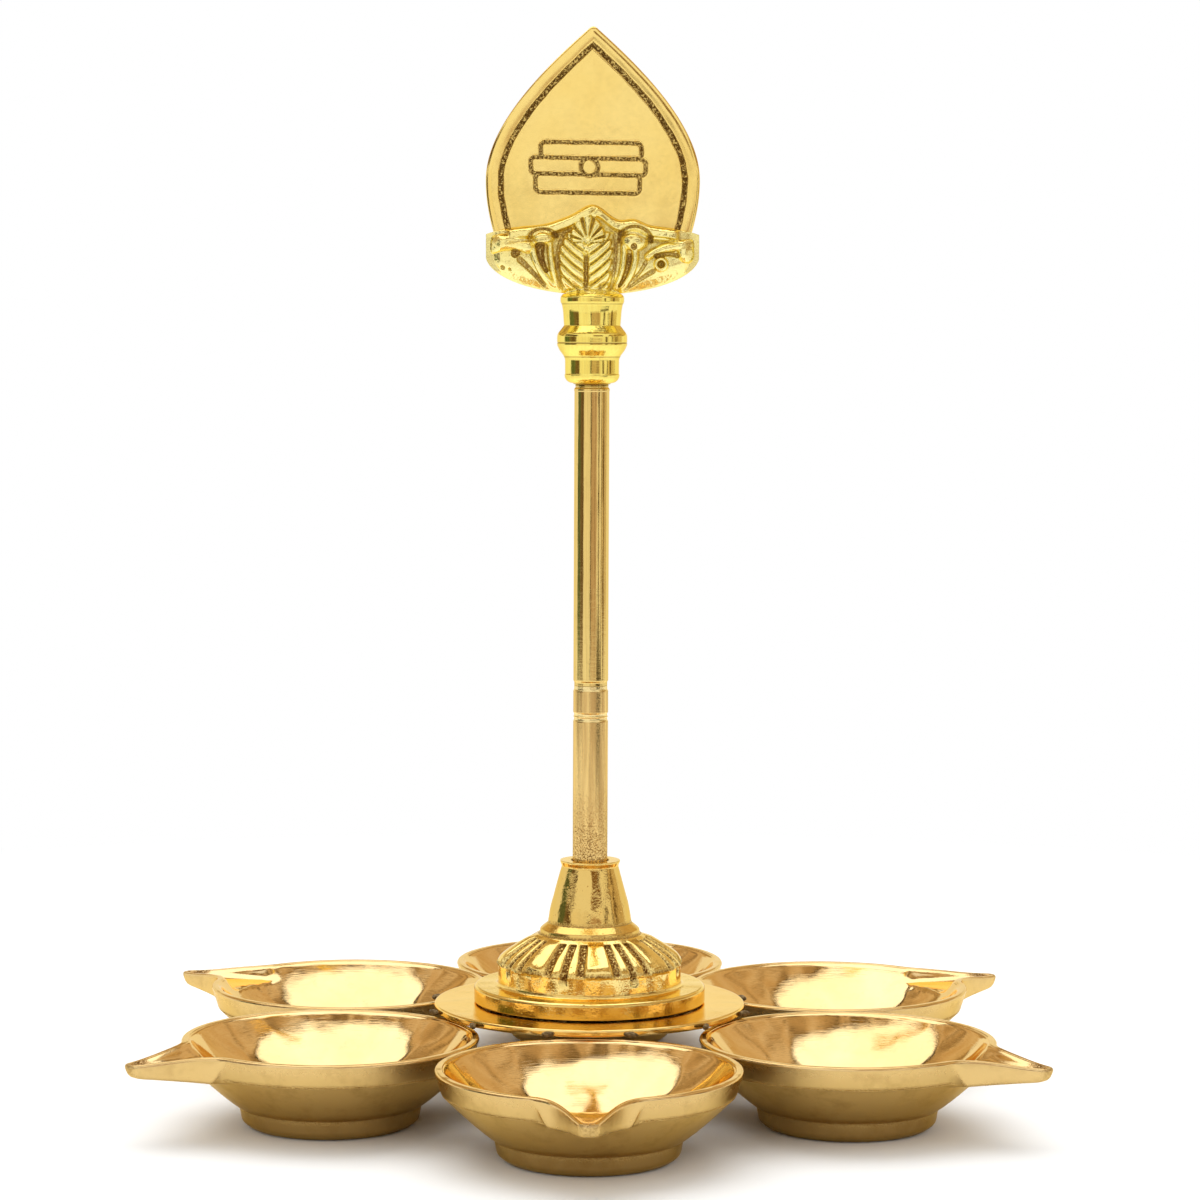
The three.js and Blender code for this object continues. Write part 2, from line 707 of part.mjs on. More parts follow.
// How far the ornament stands out of the crown's plain body
function crownRelief(x, z) {
  const side = Math.abs(x);
  const top = crownTop(x);
  const leafUp = THREE.MathUtils.clamp(z / (top - crownTrim), 0, 1);
  const leafSpan = leafPart * finialHalfWidth * Math.sqrt(1 - leafUp ** 4);
  const leaf = leafSpan > 0 ? leafProud * bump(side, leafSpan) : 0;
  const band = stalkProud * bump(top - crownTrim - z, crownTrim);
  const knobX = knobPart * finialHalfWidth;
  const knobZ = knobRise * crownBandHeight;
  const knob = leafProud * bump(Math.hypot(side - knobX, z - knobZ), knobRadius);
  const stalkX = mix(stalkPart * finialHalfWidth, knobX, smooth(z / knobZ));
  const stalk = z < knobZ ? stalkProud * bump(side - stalkX, crownTrim) : 0;
  const curlX = curlPart * finialHalfWidth;
  const curlZ = curlRise * crownBandHeight;
  const curl = stalkProud * bump(Math.hypot(side - curlX, z - curlZ), curlRadius);
  return Math.max(leaf, band, knob, stalk, curl);
}

function leafCrown() {
  const columnCount = 29;
  const rowCount = 10;
  const rings = [];
  for (let i = 1; i < columnCount; i++) {
    const x = -finialHalfWidth * Math.cos((Math.PI * i) / columnCount);
    const across = 1 - (x / finialHalfWidth) ** 2;
    const taper = Math.min(1, crownEndFull * across ** crownEndTaper);
    const body = mix(crownEndDepth, crownMidDepth, across) * taper;
    const face = [];
    for (let j = 0; j <= rowCount; j++) {
      const up = j / rowCount;
      const z = mix(crownBottom(x), crownTop(x), up);
      const belly = Math.min(up / crownBelly + crownLip, 1);
      const swell = Math.sqrt(1 - (1 - belly) ** 2);
      const thin = smooth((up - crownBelly) / (1 - crownBelly)) * across;
      const draw = mix(1, crownEndDepth / crownMidDepth, thin);
      const relief = crownRelief(x, z) * Math.min(1, crownReliefTaper * across);
      face.push([body * swell * draw + (j < rowCount ? relief : -crownLipDraw), z]);
    }
    const back = face.map(([depth, z]) => [x, depth, crownFoot + z]);
    const front = face.map(([depth, z]) => [x, -depth, crownFoot + z]).reverse();
    rings.push([...back, ...front]);
  }
  const endHeight = crownFoot + (crownEndHeight + crownTop(finialHalfWidth)) / 2;
  const body = solidOf(skin([-finialHalfWidth, 0, endHeight], rings, [finialHalfWidth, 0, endHeight]));
  const room = solidOf(standing(bladeShape(-seat), -bladeThickness / 2 - seat, bladeThickness / 2 + seat));
  const tangRoom = solidOf(tangBox(seat, crownFoot - 1, bladeFoot + 1));
  return geometryOf(body.subtract(room).subtract(tangRoom));
}

// Materials

const castBrass = new THREE.MeshStandardMaterial({ color: 0xd9a441, roughness: 0.22, metalness: 1 });
const cupBrass = new THREE.MeshStandardMaterial({ color: 0xd2a24c, roughness: 0.18, metalness: 1 });
const turnedBrass = new THREE.MeshStandardMaterial({ color: 0xd0aa62, roughness: 0.16, metalness: 1 });
const dullBrass = new THREE.MeshStandardMaterial({ color: 0xb8924f, roughness: 0.34, metalness: 1 });
const solderGrey = new THREE.MeshStandardMaterial({ color: 0x6f6045, roughness: 0.6, metalness: 0.8 });
const steel = new THREE.MeshStandardMaterial({ color: 0x9a9a98, roughness: 0.4, metalness: 1 });

// The lamp

const lamp = new THREE.Group();

function place(name, geometry, material, parent = lamp) {
  const mesh = new THREE.Mesh(geometry, material);
  mesh.name = name;
  parent.add(mesh);
}

for (let i = 0; i < cupCount; i++) {
  const station = new THREE.Group();
  station.rotation.z = -Math.PI / 2 + (2 * Math.PI * i) / cupCount;
  lamp.add(station);
  const onRing = new THREE.Group();
  onRing.position.x = ringDistance;
  station.add(onRing);
  place(`cup_${i + 1}`, cup(), cupBrass, onRing);
  place(`cup_${i + 1}_solder_left`, solder(1), solderGrey, onRing);
  place(`cup_${i + 1}_solder_right`, solder(-1), solderGrey, onRing);
}
place('centre_disc', centreDisc(), cupBrass);
place('fluted_bell', flutedBell(), castBrass);
place('clamp_bolt', clampBolt(), steel);
place('clamp_washer', clampWasher(), steel);
place('base_stud', stud(stemFoot - seat, studHold), dullBrass);
place('lower_stem', lowerStem(), dullBrass);
place('middle_stud', stud(lowerStemTop, studHold), dullBrass);
place('upper_stem', upperStem(), turnedBrass);
place('finial_stud', stud(upperStemTop, studHold), dullBrass);
place('finial_socket', finialSocket(), turnedBrass);
place('leaf_crown', leafCrown(), castBrass);
place('spearhead', spearhead(), castBrass);

export default lamp;
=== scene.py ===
# The looks of a six-wick brass oil lamp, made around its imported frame. Shapes are worked out in
# millimetres. The front spout and the spearhead's marked face look along -Y, towards the camera.

import math

import bpy
import numpy as np
from mathutils import Matrix, Vector, noise


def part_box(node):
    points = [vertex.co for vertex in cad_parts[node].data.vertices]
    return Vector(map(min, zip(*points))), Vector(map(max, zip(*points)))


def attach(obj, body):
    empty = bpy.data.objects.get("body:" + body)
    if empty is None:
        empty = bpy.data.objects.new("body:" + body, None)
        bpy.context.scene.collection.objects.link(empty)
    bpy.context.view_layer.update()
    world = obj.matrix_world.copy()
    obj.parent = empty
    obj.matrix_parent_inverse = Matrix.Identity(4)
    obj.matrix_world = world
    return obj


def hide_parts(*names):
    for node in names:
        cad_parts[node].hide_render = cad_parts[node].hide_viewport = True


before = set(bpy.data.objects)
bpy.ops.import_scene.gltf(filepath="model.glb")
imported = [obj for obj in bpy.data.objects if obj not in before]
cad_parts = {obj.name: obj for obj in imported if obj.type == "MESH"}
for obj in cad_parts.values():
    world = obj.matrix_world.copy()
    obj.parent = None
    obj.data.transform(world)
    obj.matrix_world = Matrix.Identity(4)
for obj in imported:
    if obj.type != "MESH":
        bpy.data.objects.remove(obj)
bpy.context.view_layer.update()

MM = 0.001


def low(node):
    """The lowest corner of a CAD node, in millimetres."""
    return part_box(node)[0] / MM


def high(node):
    """The highest corner of a CAD node, in millimetres."""
    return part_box(node)[1] / MM


# The camera, where the photographer's stood

camera_place = Vector((0.0, -0.8128, 0.1725))
camera_pitch = math.radians(4.318)
camera_yaw = math.radians(0.14)
camera_roll = math.radians(0.25)
camera_lens = 109.7
camera_sensor = 36


def add(name, data):
    """A new object in the scene."""
    item = bpy.data.objects.new(name, data)
    bpy.context.scene.collection.objects.link(item)
    return item


def make_camera():
    data = bpy.data.cameras.new("camera")
    data.lens = camera_lens
    data.sensor_width = camera_sensor
    camera = add("camera", data)
    camera.matrix_world = (
        Matrix.Translation(camera_place)
        @ Matrix.Rotation(-camera_yaw, 4, "Z")
        @ Matrix.Rotation(math.pi / 2 - camera_pitch, 4, "X")
        @ Matrix.Rotation(camera_roll, 4, "Z")
    )
    bpy.context.scene.camera = camera


make_camera()


# Driving dimensions of the finer shapes

seat = 0.3
face_seat = 0.13
thread_pitch = 0.8
thread_depth = 0.3
thread_reach = 0.02
stud_radius = 2.4
stud_bore = stud_radius + seat
bolt_bore = 3.2

cup_count = 6
rim_radius = 32.1
rim_height = high("cup_4").z
lip_width = 1.7
floor_thickness = 3.9
foot_radius = 19.7
sole_radius = 17.5
foot_height = 4.3
rim_band_height = 5.0
rim_band_inset = 1.4
rim_round = 0.6
flank_curve = 1.15
ring_distance = low("cup_4").y + rim_radius
spout_reach = high("cup_4").y - ring_distance - rim_radius
spout_nose = 2.2
spout_spread = math.radians(22)
spout_wall = 1.1
spout_lip_drop = 1.6
channel_root_drop = 3.4
channel_tip_drop = 2.6
keel_root_drop = 6.2
keel_tip_drop = 4.4
channel_setback = 4.4
keel_setback = 3.1

disc_radius = high("centre_disc").x
disc_bottom = low("centre_disc").z
disc_top = high("centre_disc").z
bell_bottom = low("fluted_bell").z
collar_top = high("fluted_bell").z
ring_radius = 25.9
ring_height = 3.65
ring_slope = 1.1
band_radius = 20.5
band_height = 3.85
dome_top_radius = 11.6
dome_height = 6.5
dome_curve = 1.4
lobe_count = 8
lobe_turn = math.radians(6)
lobe_bulge = 0.9
flute_depth = 1.1
flute_width = 1.65
bead_radius = 11.3
bead_height = 2.6
bead_slope = 1.4
neck_height = 3.3
cone_foot_radius = 9.0
cone_top_radius = 6.3
cone_height = 9.2
collar_radius = 6.7
bell_wall = 3.2

stem_radius = 3.9
stem_foot = low("lower_stem").z
lower_stem_top = high("lower_stem").z
upper_stem_foot = low("upper_stem").z
upper_stem_top = high("upper_stem").z
groove_depth = 0.2
groove_width = 2.0
groove_band = 4.8
socket_radius = stem_radius + seat
groove_floor = stem_radius - groove_depth

neck_foot = low("finial_socket").z
flange_top = high("finial_socket").z
crown_foot = low("leaf_crown").z
crown_half = high("leaf_crown").x
blade_tip = high("spearhead").z
blade_foot = 184.3
blade_thickness = 5.0
blade_edge = 1.0


# How finely the pieces are drawn

thread_step = 0.13
smooth_step = 0.8
stud_around = 40
stem_around = 96
neck_around = 160
bell_around = 448
disc_around = 220


# Working with shapes

def mix(a, b, share):
    return a + (b - a) * share


def unit(x):
    """The value, held between 0 and 1."""
    return np.clip(x, 0, 1)


def smooth(x):
    """A soft step from 0 to 1."""
    x = unit(x)
    return x * x * (3 - 2 * x)


def hump(distance, width=1):
    """A round ridge: 1 on its crest, 0 from its width outwards."""
    return np.sqrt(unit(1 - (distance / width) ** 2))


def soft(distance, width):
    """A soft ridge without an edge."""
    return unit(1 - (distance / width) ** 2) ** 2


def bezier(count, *points):
    """Places along a curve from the first point to the last, drawn towards those between."""
    share = np.linspace(0, 1, count)[:, None]
    points = np.array(points, float)
    while len(points) > 1:
        points = [mix(a, b, share) for a, b in zip(points, points[1:])]
    return points[0]


def grain(points, scale, seed=0.0):
    """Smooth noise at points, about -1 to 1. The scale is in bumps per millimetre."""
    points = np.asarray(points)
    shift = Vector((seed, 3.7 * seed, -1.9 * seed))
    places = (points.reshape(-1, 3) * scale).tolist()
    return np.array([noise.noise(Vector(p) + shift) for p in places]).reshape(points.shape[:-1])


def skin(rings, start=None, end=None):
    """Points and faces of a skin through rings. Without a start and an end it closes on itself."""
    rings = np.asarray(rings, float)
    levels, around, _ = rings.shape
    index = np.arange(levels * around).reshape(levels, around)
    if start is None:
        index = np.vstack([index, index[:1]])
    one, two = index[:-1], index[1:]
    quads = np.stack([one, np.roll(one, -1, 1), np.roll(two, -1, 1), two], -1)
    faces = quads.reshape(-1, 4).tolist()
    points = rings.reshape(-1, 3)
    if start is not None:
        first, last = index[0], index[-1]
        pole = len(points)
        points = np.vstack([points, [start, end]])
        faces += [[pole, int(b), int(a)] for a, b in zip(first, np.roll(first, -1))]
        faces += [[pole + 1, int(a), int(b)] for a, b in zip(last, np.roll(last, -1))]
    return points, faces


def rounded(corners, fillet=0.3, steps=6):
    """A profile with its corners rounded. A corner may bring a fillet of its own."""
    points = [np.array(corners[0][:2], float)]
    for before, corner, after in zip(corners, corners[1:], corners[2:]):
        here = np.array(corner[:2], float)
        back = np.array(before[:2], float) - here
        on = np.array(after[:2], float) - here
        long_back, long_on = np.linalg.norm(back), np.linalg.norm(on)
        size = corner[2] if len(corner) > 2 else fillet
        size = min(size, 0.38 * long_back, 0.38 * long_on)
        back *= size / long_back
        on *= size / long_on
        points.append(here + 1.25 * back)
        for share in np.linspace(0, 1, steps):
            points.append(here + back * (1 - share) ** 2 + on * share ** 2)
        points.append(here + 1.25 * on)
    points.append(np.array(corners[-1][:2], float))
    return np.array(points)


def closed(corners, fillet=0.3):
    """A rounded profile that closes on itself."""
    return rounded([corners[-1], *corners, corners[0]], fillet)[1:-1]


def denser(profile, step, bottom=-1e9, top=1e9):
    """The profile with more points where it lies between two heights."""
    points = [profile[0]]
    for a, b in zip(profile, profile[1:]):
        inside = bottom <= min(a[1], b[1]) and max(a[1], b[1]) <= top
        count = math.ceil(np.linalg.norm(b - a) / step) if inside else 1
        points += [mix(a, b, i / count) for i in range(1, count + 1)]
    return np.array(points)


def bearings(around):
    """The angles round the axis, in one row."""
    return 2 * np.pi * np.arange(around)[None, :] / around


def about_axis(radius, angle, height):
    """Points from their distance to the axis, their angle round it and their height."""
    return np.stack([radius * np.cos(angle), radius * np.sin(angle), height], -1)


def spun(profile, around, shape):
    """The rings of a profile that is turned round the axis."""
    angle = bearings(around)
    radius, height = profile.T[..., None] * np.ones((1, around))
    if shape is not None:
        radius = shape(radius, height, angle)
    return about_axis(radius, angle, height)


def turned(profile, around, shape=None):
    """Points and faces of a turned piece. Its profile runs from the axis back to the axis, or
    stays off it and closes on itself."""
    if profile[0][0] > 0:
        return skin(spun(profile, around, shape))
    start, end = ([0, 0, profile[i][1]] for i in (0, -1))
    return skin(spun(profile[1:-1], around, shape), start, end)


def threads(surface, *zones):
    """A shape that cuts a screw thread between two heights, in each bore or stud whose radius is
    that of the surface."""
    def shape(radius, height, angle):
        for bottom, top in zones:
            turn = (height / thread_pitch - angle / (2 * np.pi)) % 1
            wave = np.abs(2 * turn - 1)
            fade = smooth((height - bottom) / thread_pitch) * smooth((top - height) / thread_pitch)
            there = np.abs(radius - surface) < thread_reach
            radius = radius - np.where(there, fade * thread_depth * wave, 0)
        return radius
    return shape


# Node materials

class Recipe:
    """One node material, built a node at a time. Its places are in millimetres. A piece made here
    keeps its own places on its points, so that all cups have the same grain."""

    def __init__(self, name, kept=True):
        self.material = bpy.data.materials.new(name)
        self.material.use_nodes = True
        self.tree = self.material.node_tree
        self.tree.nodes.clear()
        if kept:
            self.place = self.node("Attribute", attribute_name="place").outputs["Vector"]
        else:
            self.place = self.node("TexCoord").outputs["Object"]
            self.place = self.stretched((1 / MM, 1 / MM, 1 / MM))

    def node(self, kind, inputs=None, **settings):
        node = self.tree.nodes.new("ShaderNode" + kind)
        for key, value in settings.items():
            setattr(node, key, value)
        for key, value in (inputs or {}).items():
            self.feed(node.inputs[key], value)
        return node

    def feed(self, socket, value):
        if isinstance(value, bpy.types.NodeSocket):
            self.tree.links.new(value, socket)
        else:
            socket.default_value = (*value, 1.0) if socket.type == "RGBA" else value

    def math(self, operation, a, b=0.0, clamp=False):
        return self.node("Math", {0: a, 1: b}, operation=operation, use_clamp=clamp).outputs[0]

    def times(self, a, b, clamp=False):
        return self.math("MULTIPLY", a, b, clamp)

    def plus(self, a, b, clamp=False):
        return self.math("ADD", a, b, clamp)

    def less(self, value):
        """What is left of 1."""
        return self.math("SUBTRACT", 1.0, value)

    def stretched(self, by):
        """The place, multiplied along each axis."""
        return self.node("VectorMath", {0: self.place, 1: by}, operation="MULTIPLY").outputs[0]

    def noise(self, scale, detail=3.0, place=None, roughness=0.55):
        inputs = {"Vector": place or self.place, "Scale": scale, "Detail": detail}
        return self.node("TexNoise", {**inputs, "Roughness": roughness}).outputs["Fac"]

    def cells(self, scale):
        return self.node("TexVoronoi", {"Vector": self.place, "Scale": scale}).outputs["Distance"]

    def spread(self, value, low_in, high_in, low_out=0.0, high_out=1.0):
        inputs = {"Value": value, "From Min": low_in, "From Max": high_in}
        inputs.update({"To Min": low_out, "To Max": high_out})
        return self.node("MapRange", inputs).outputs["Result"]

    def blend(self, share, a, b):
        return self.node("Mix", {"Factor": share, 6: a, 7: b}, data_type="RGBA").outputs[2]

    def mark(self, name):
        return self.node("Attribute", attribute_name=name).outputs["Fac"]

    def split(self):
        """The X, Y and Z of the place."""
        return self.node("SeparateXYZ", {0: self.place}).outputs

    def radius(self):
        """How far the place is from the axis."""
        squares = [self.math("POWER", part, 2.0) for part in self.split()[:2]]
        return self.math("SQRT", self.plus(*squares))

    def turned_place(self, around):
        """A place that is the same all round the axis, so that noise on it makes turned lines."""
        across, _, height = self.split()
        inputs = {0: self.radius(), 1: self.times(across, around), 2: height}
        return self.node("CombineXYZ", inputs).outputs[0]

    def bump(self, height, distance, below=None):
        inputs = {"Height": height, "Distance": distance * MM, "Strength": 1.0}
        if below is not None:
            inputs["Normal"] = below
        return self.node("Bump", inputs).outputs["Normal"]

    def surface(self, shader):
        """The material, with this shader on its surface."""
        self.node("OutputMaterial", {"Surface": shader.outputs[0]})
        return self.material

    def metal(self, colour, roughness, normal, metallic=1.0, edge=(1.0, 1.0, 1.0)):
        inputs = {"Base Color": colour, "Roughness": roughness, "Normal": normal}
        inputs.update({"Specular Tint": edge, "Metallic": metallic})
        return self.surface(self.node("BsdfPrincipled", inputs))


brass_edge = (0.98, 0.84, 0.52)
# painted shade: a darker tone for the bell's turned faces that look sideways
turned_face_painted_shade = (0.74, 0.47, 0.12)
# painted shade: the colour the cups' satin outsides darken to towards the foot
painted_foot_shade = (0.26, 0.15, 0.045)


def brass(name, bright, deep, gloss, wave, pits=0.0, lines=0.0, patina=(0.20, 0.085, 0.015),
          smudges=0.3):
    """Polished brass: two tones, patina where it is marked worn, waves, pits and turned lines.
    Painted shade darkens the faces marked turned and the cups' satin outsides, more towards the
    foot, and the cups' worn mark also paints shade along the foot step.
    """
    r = Recipe(name)
    colour = r.blend(r.spread(r.noise(0.06, 4.0), 0.35, 0.7), bright, deep)
    # painted shade where marked turned: the faces that look sideways are darkened
    colour = r.blend(r.mark("turned"), colour, turned_face_painted_shade)
    smudge = r.spread(r.noise(0.35, 5.0, roughness=0.7), 0.54, 0.8)
    colour = r.blend(r.times(smudge, smudges), colour, [c * 0.6 for c in deep])
    stipple = r.spread(r.noise(2.2), 0.38, 0.6)
    worn = r.times(r.mark("worn"), r.plus(stipple, 0.3), clamp=True)
    colour = r.blend(worn, colour, patina)
    satin = r.mark("satin")
    stain = r.spread(r.noise(0.16, 4.0, roughness=0.65), 0.5, 0.75)
    # the cups' satin outsides: stained brass, darkened overall as painted shade for the shadowed
    # floor they face
    satin_stains_and_painted_shade = r.blend(stain, (0.66, 0.45, 0.16), (0.50, 0.32, 0.10))
    # painted shade, growing towards the foot of the cups
    foot_shade_share = r.spread(r.split()["Z"], 13.0, 3.0, 0.0, 0.6)
    colour = r.blend(satin, colour, r.blend(foot_shade_share, satin_stains_and_painted_shade, painted_foot_shade))
    roughness = r.spread(r.noise(0.9, 4.0), 0.3, 0.75, gloss, gloss * 1.9)
    roughness = r.plus(roughness, r.times(worn, 0.4))
    roughness = r.plus(roughness, r.times(satin, 0.26), clamp=True)
    normal = r.bump(r.noise(0.11, 1.0), wave)
    if lines:
        normal = r.bump(r.noise(5.5, 2.0, r.turned_place(0.02), 0.8), lines, normal)
    if pits:
        speck = r.spread(r.cells(0.9), 0.02, 0.16)
        sparse = r.spread(r.noise(0.5, 2.0), 0.5, 0.6)
        normal = r.bump(r.less(r.times(r.less(speck), sparse)), pits, normal)
        normal = r.bump(r.noise(1.8), pits * 0.12, normal)
    normal = r.bump(r.times(worn, stipple), 0.12, normal)
    return r.metal(colour, roughness, normal, edge=brass_edge)


def dull_brass():
    """The stem's lower rod: drawn brass with brown streaks along it, pits near its foot, and a
    painted highlight where it is marked worn.
    """
    r = Recipe("dull_brass")
    along = r.stretched((1.0, 1.0, 0.04))
    streak = r.spread(r.noise(0.9, 4.0, along), 0.38, 0.66)
    colour = r.blend(streak, (0.90, 0.63, 0.24), (0.62, 0.40, 0.14))
    foot = r.spread(r.split()["Z"], stem_foot + 20, stem_foot)
    spots = r.spread(r.noise(2.9, 4.0, roughness=0.7), 0.51, 0.62)
    tarnish = r.times(spots, r.plus(foot, 0.06), clamp=True)
    colour = r.blend(tarnish, colour, (0.26, 0.14, 0.055))
    # painted highlight: the faces marked worn, inside the grooves, are painted pale yellow
    colour = r.blend(r.mark("worn"), colour, (0.98, 0.80, 0.38))
    roughness = r.spread(streak, 0.0, 1.0, 0.10, 0.20)
    roughness = r.plus(roughness, r.times(tarnish, 0.3), clamp=True)
    normal = r.bump(r.noise(4.0, 2.0, along), 0.012)
    normal = r.bump(r.less(tarnish), 0.07, normal)
    return r.metal(colour, roughness, normal, edge=brass_edge)


def drawn_brass(name, bright, deep):
    """The stem's upper rod and its neck: bright, with faint lines along it and turned marks."""
    r = Recipe(name)
    along = r.stretched((1.0, 1.0, 0.03))
    streak = r.spread(r.noise(2.2, 4.0, along), 0.3, 0.75)
    stain = r.spread(r.noise(0.5, 5.0, roughness=0.7), 0.56, 0.8)
    colour = r.blend(r.times(stain, 0.3), r.blend(streak, bright, deep), (0.42, 0.25, 0.09))
    colour = r.blend(r.mark("worn"), colour, (0.22, 0.11, 0.03))
    roughness = r.spread(streak, 0.0, 1.0, 0.05, 0.10)
    normal = r.bump(r.noise(2.2, 3.0, along), 0.02)
    normal = r.bump(r.noise(7.0, 2.0, r.turned_place(0.02), 0.8), 0.006, normal)
    return r.metal(colour, roughness, normal, edge=brass_edge)


def solder_grey():
    """Dull braze metal, darkened in patches."""
    r = Recipe("solder")
    patch = r.spread(r.noise(1.6, 5.0), 0.35, 0.65)
    colour = r.blend(patch, (0.12, 0.075, 0.03), (0.34, 0.25, 0.13))
    normal = r.bump(r.noise(3.0, 5.0), 0.25)
    return r.metal(colour, r.spread(patch, 0.0, 1.0, 0.65, 0.4), normal, 0.85)


def bolt_steel():
    """Plated steel with turned marks, for the clamp, which keeps its frame shapes."""
    r = Recipe("steel", kept=False)
    patch = r.spread(r.noise(0.8, 5.0), 0.35, 0.7)
    colour = r.blend(patch, (0.55, 0.55, 0.54), (0.38, 0.37, 0.35))
    normal = r.bump(r.noise(5.0, 3.0, r.turned_place(0.1)), 0.02)
    return r.metal(colour, r.spread(patch, 0.0, 1.0, 0.28, 0.5), normal)


cup_finish = brass("cup_brass", (0.90, 0.66, 0.34), (0.84, 0.58, 0.26), 0.04, 0.35, lines=0.012)
disc_finish = brass("disc_brass", (1.0, 0.73, 0.28), (0.95, 0.66, 0.22), 0.06, 0.12, lines=0.02)
bell_finish = brass("bell_brass", (0.99, 0.79, 0.31), (0.93, 0.66, 0.20), 0.05, 0.25, pits=0.3)
crown_finish = brass("crown_brass", (0.98, 0.87, 0.36), (0.95, 0.77, 0.26), 0.15, 0.1, pits=0.12,
                     patina=(0.42, 0.24, 0.06), smudges=0.15)
blade_finish = brass("blade_brass", (0.98, 0.73, 0.24), (0.96, 0.69, 0.20), 0.12, 0.12,
                     patina=(0.17, 0.085, 0.015), smudges=0.08)
drawn_finish = drawn_brass("turned_brass", (0.88, 0.65, 0.23), (0.76, 0.54, 0.18))
neck_finish = drawn_brass("neck_brass", (0.97, 0.80, 0.19), (0.92, 0.70, 0.15))
dull_finish = dull_brass()
solder_finish = solder_grey()
steel_finish = bolt_steel()


# Making pieces

def new_mesh(name, points, faces, finish):
    """A mesh in one finish."""
    mesh = bpy.data.meshes.new(name)
    mesh.from_pydata(points, [], faces)
    mesh.materials.append(finish)
    return mesh


def make(node, form, shape, finish, body, turn=None, marks=None):
    """A smooth piece that stands for a CAD node and rides on its body."""
    name = f"{node}_{form}"
    points, faces = shape
    turn = np.array(turn or Matrix.Identity(4))
    places = points * MM @ turn[:3, :3].T + turn[:3, 3]
    mesh = new_mesh(name, places.tolist(), faces, finish)
    mesh.update()
    mesh.calc_loop_triangles()
    corners = np.array([t.vertices[:] for t in mesh.loop_triangles])
    a, b, c = (points[corners[:, i]] for i in range(3))
    if np.einsum("ij,ij->", a, np.cross(b, c)) < 0:
        mesh.flip_normals()
    mesh.shade_smooth()
    for key, values in (marks or {}).items():
        layer = mesh.attributes.new(key, "FLOAT", "POINT")
        poles = len(points) - np.size(values)
        layer.data.foreach_set("value", np.append(values, np.zeros(poles)))
    layer = mesh.attributes.new("place", "FLOAT_VECTOR", "POINT")
    layer.data.foreach_set("vector", np.ravel(points))
    piece = add(name, mesh)
    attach(piece, body)
    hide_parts(node)


# The cups, in their own frame: the axis is upright at the origin and the spout points along +X

spout_tip = rim_radius + spout_reach - 0.18 * spout_nose
bowl_radius = rim_radius - lip_width
bowl_depth = rim_height - floor_thickness
bowl_sphere = (bowl_radius ** 2 + bowl_depth ** 2) / (2 * bowl_depth)
bowl_centre = rim_height - bowl_depth + bowl_sphere
keel_start = rim_radius - keel_setback
channel_start = bowl_radius - channel_setback


def flank_height(radius):
    band_foot = rim_radius - rim_band_inset
    up_band = unit((radius - band_foot) / rim_band_inset)
    band = mix(rim_height - rim_band_height, rim_height - rim_round, up_band)
    share = unit((radius - foot_radius) / (band_foot - foot_radius))
    flank = foot_height + (rim_height - rim_band_height - foot_height) * share ** flank_curve
    return np.where(radius > band_foot, band, flank)


def bowl_height(radius):
    depth = np.sqrt(np.maximum(bowl_sphere ** 2 - radius ** 2, 0))
    return np.where(radius < bowl_radius, bowl_centre - depth, rim_height)


def lip_height(radius):
    share = (radius - rim_radius + 2) / (spout_tip - rim_radius + 2)
    return rim_height - spout_lip_drop * smooth(share)


def rim_outline():
    """Places on the rim, their outward directions and their shares of the way to the tip."""
    leave = np.array([math.cos(spout_spread), math.sin(spout_spread)])
    onward = np.array([leave[1], -leave[0]])
    start = leave * rim_radius
    end = np.array([spout_tip - 0.75 * spout_nose, spout_nose])
    side = [start, start + onward * 0.31 * spout_reach,
            end + np.array([-0.55, 0.20]) * spout_reach, end]
    nose = [end, (spout_tip, 0.741 * spout_nose), (spout_tip, 0.0)]
    steps, nose_steps = 34, 7
    beak = np.vstack([bezier(steps, *side), bezier(nose_steps, *nose)[1:]])
    along = np.vstack([bezier(steps, *np.diff(side, axis=0)),
                       bezier(nose_steps, *np.diff(nose, axis=0))[1:]])
    beak_out = np.stack([-along[:, 1], along[:, 0]], -1)
    beak_out /= np.linalg.norm(beak_out, axis=1)[:, None]
    share = np.append(np.linspace(0, 1, steps), np.ones(nose_steps - 1))
    angle = np.linspace(spout_spread, 2 * np.pi - spout_spread, 150)[1:-1]
    ring_out = np.stack([np.cos(angle), np.sin(angle)], -1)
    mirror = np.array([1.0, -1.0])
    place = np.vstack([ring_out * rim_radius, beak * mirror, beak[-2::-1]])
    out = np.vstack([ring_out, beak_out * mirror, beak_out[-2::-1]])
    shares = np.concatenate([np.zeros(len(angle)), share, share[-2::-1]])
    return place, out, shares


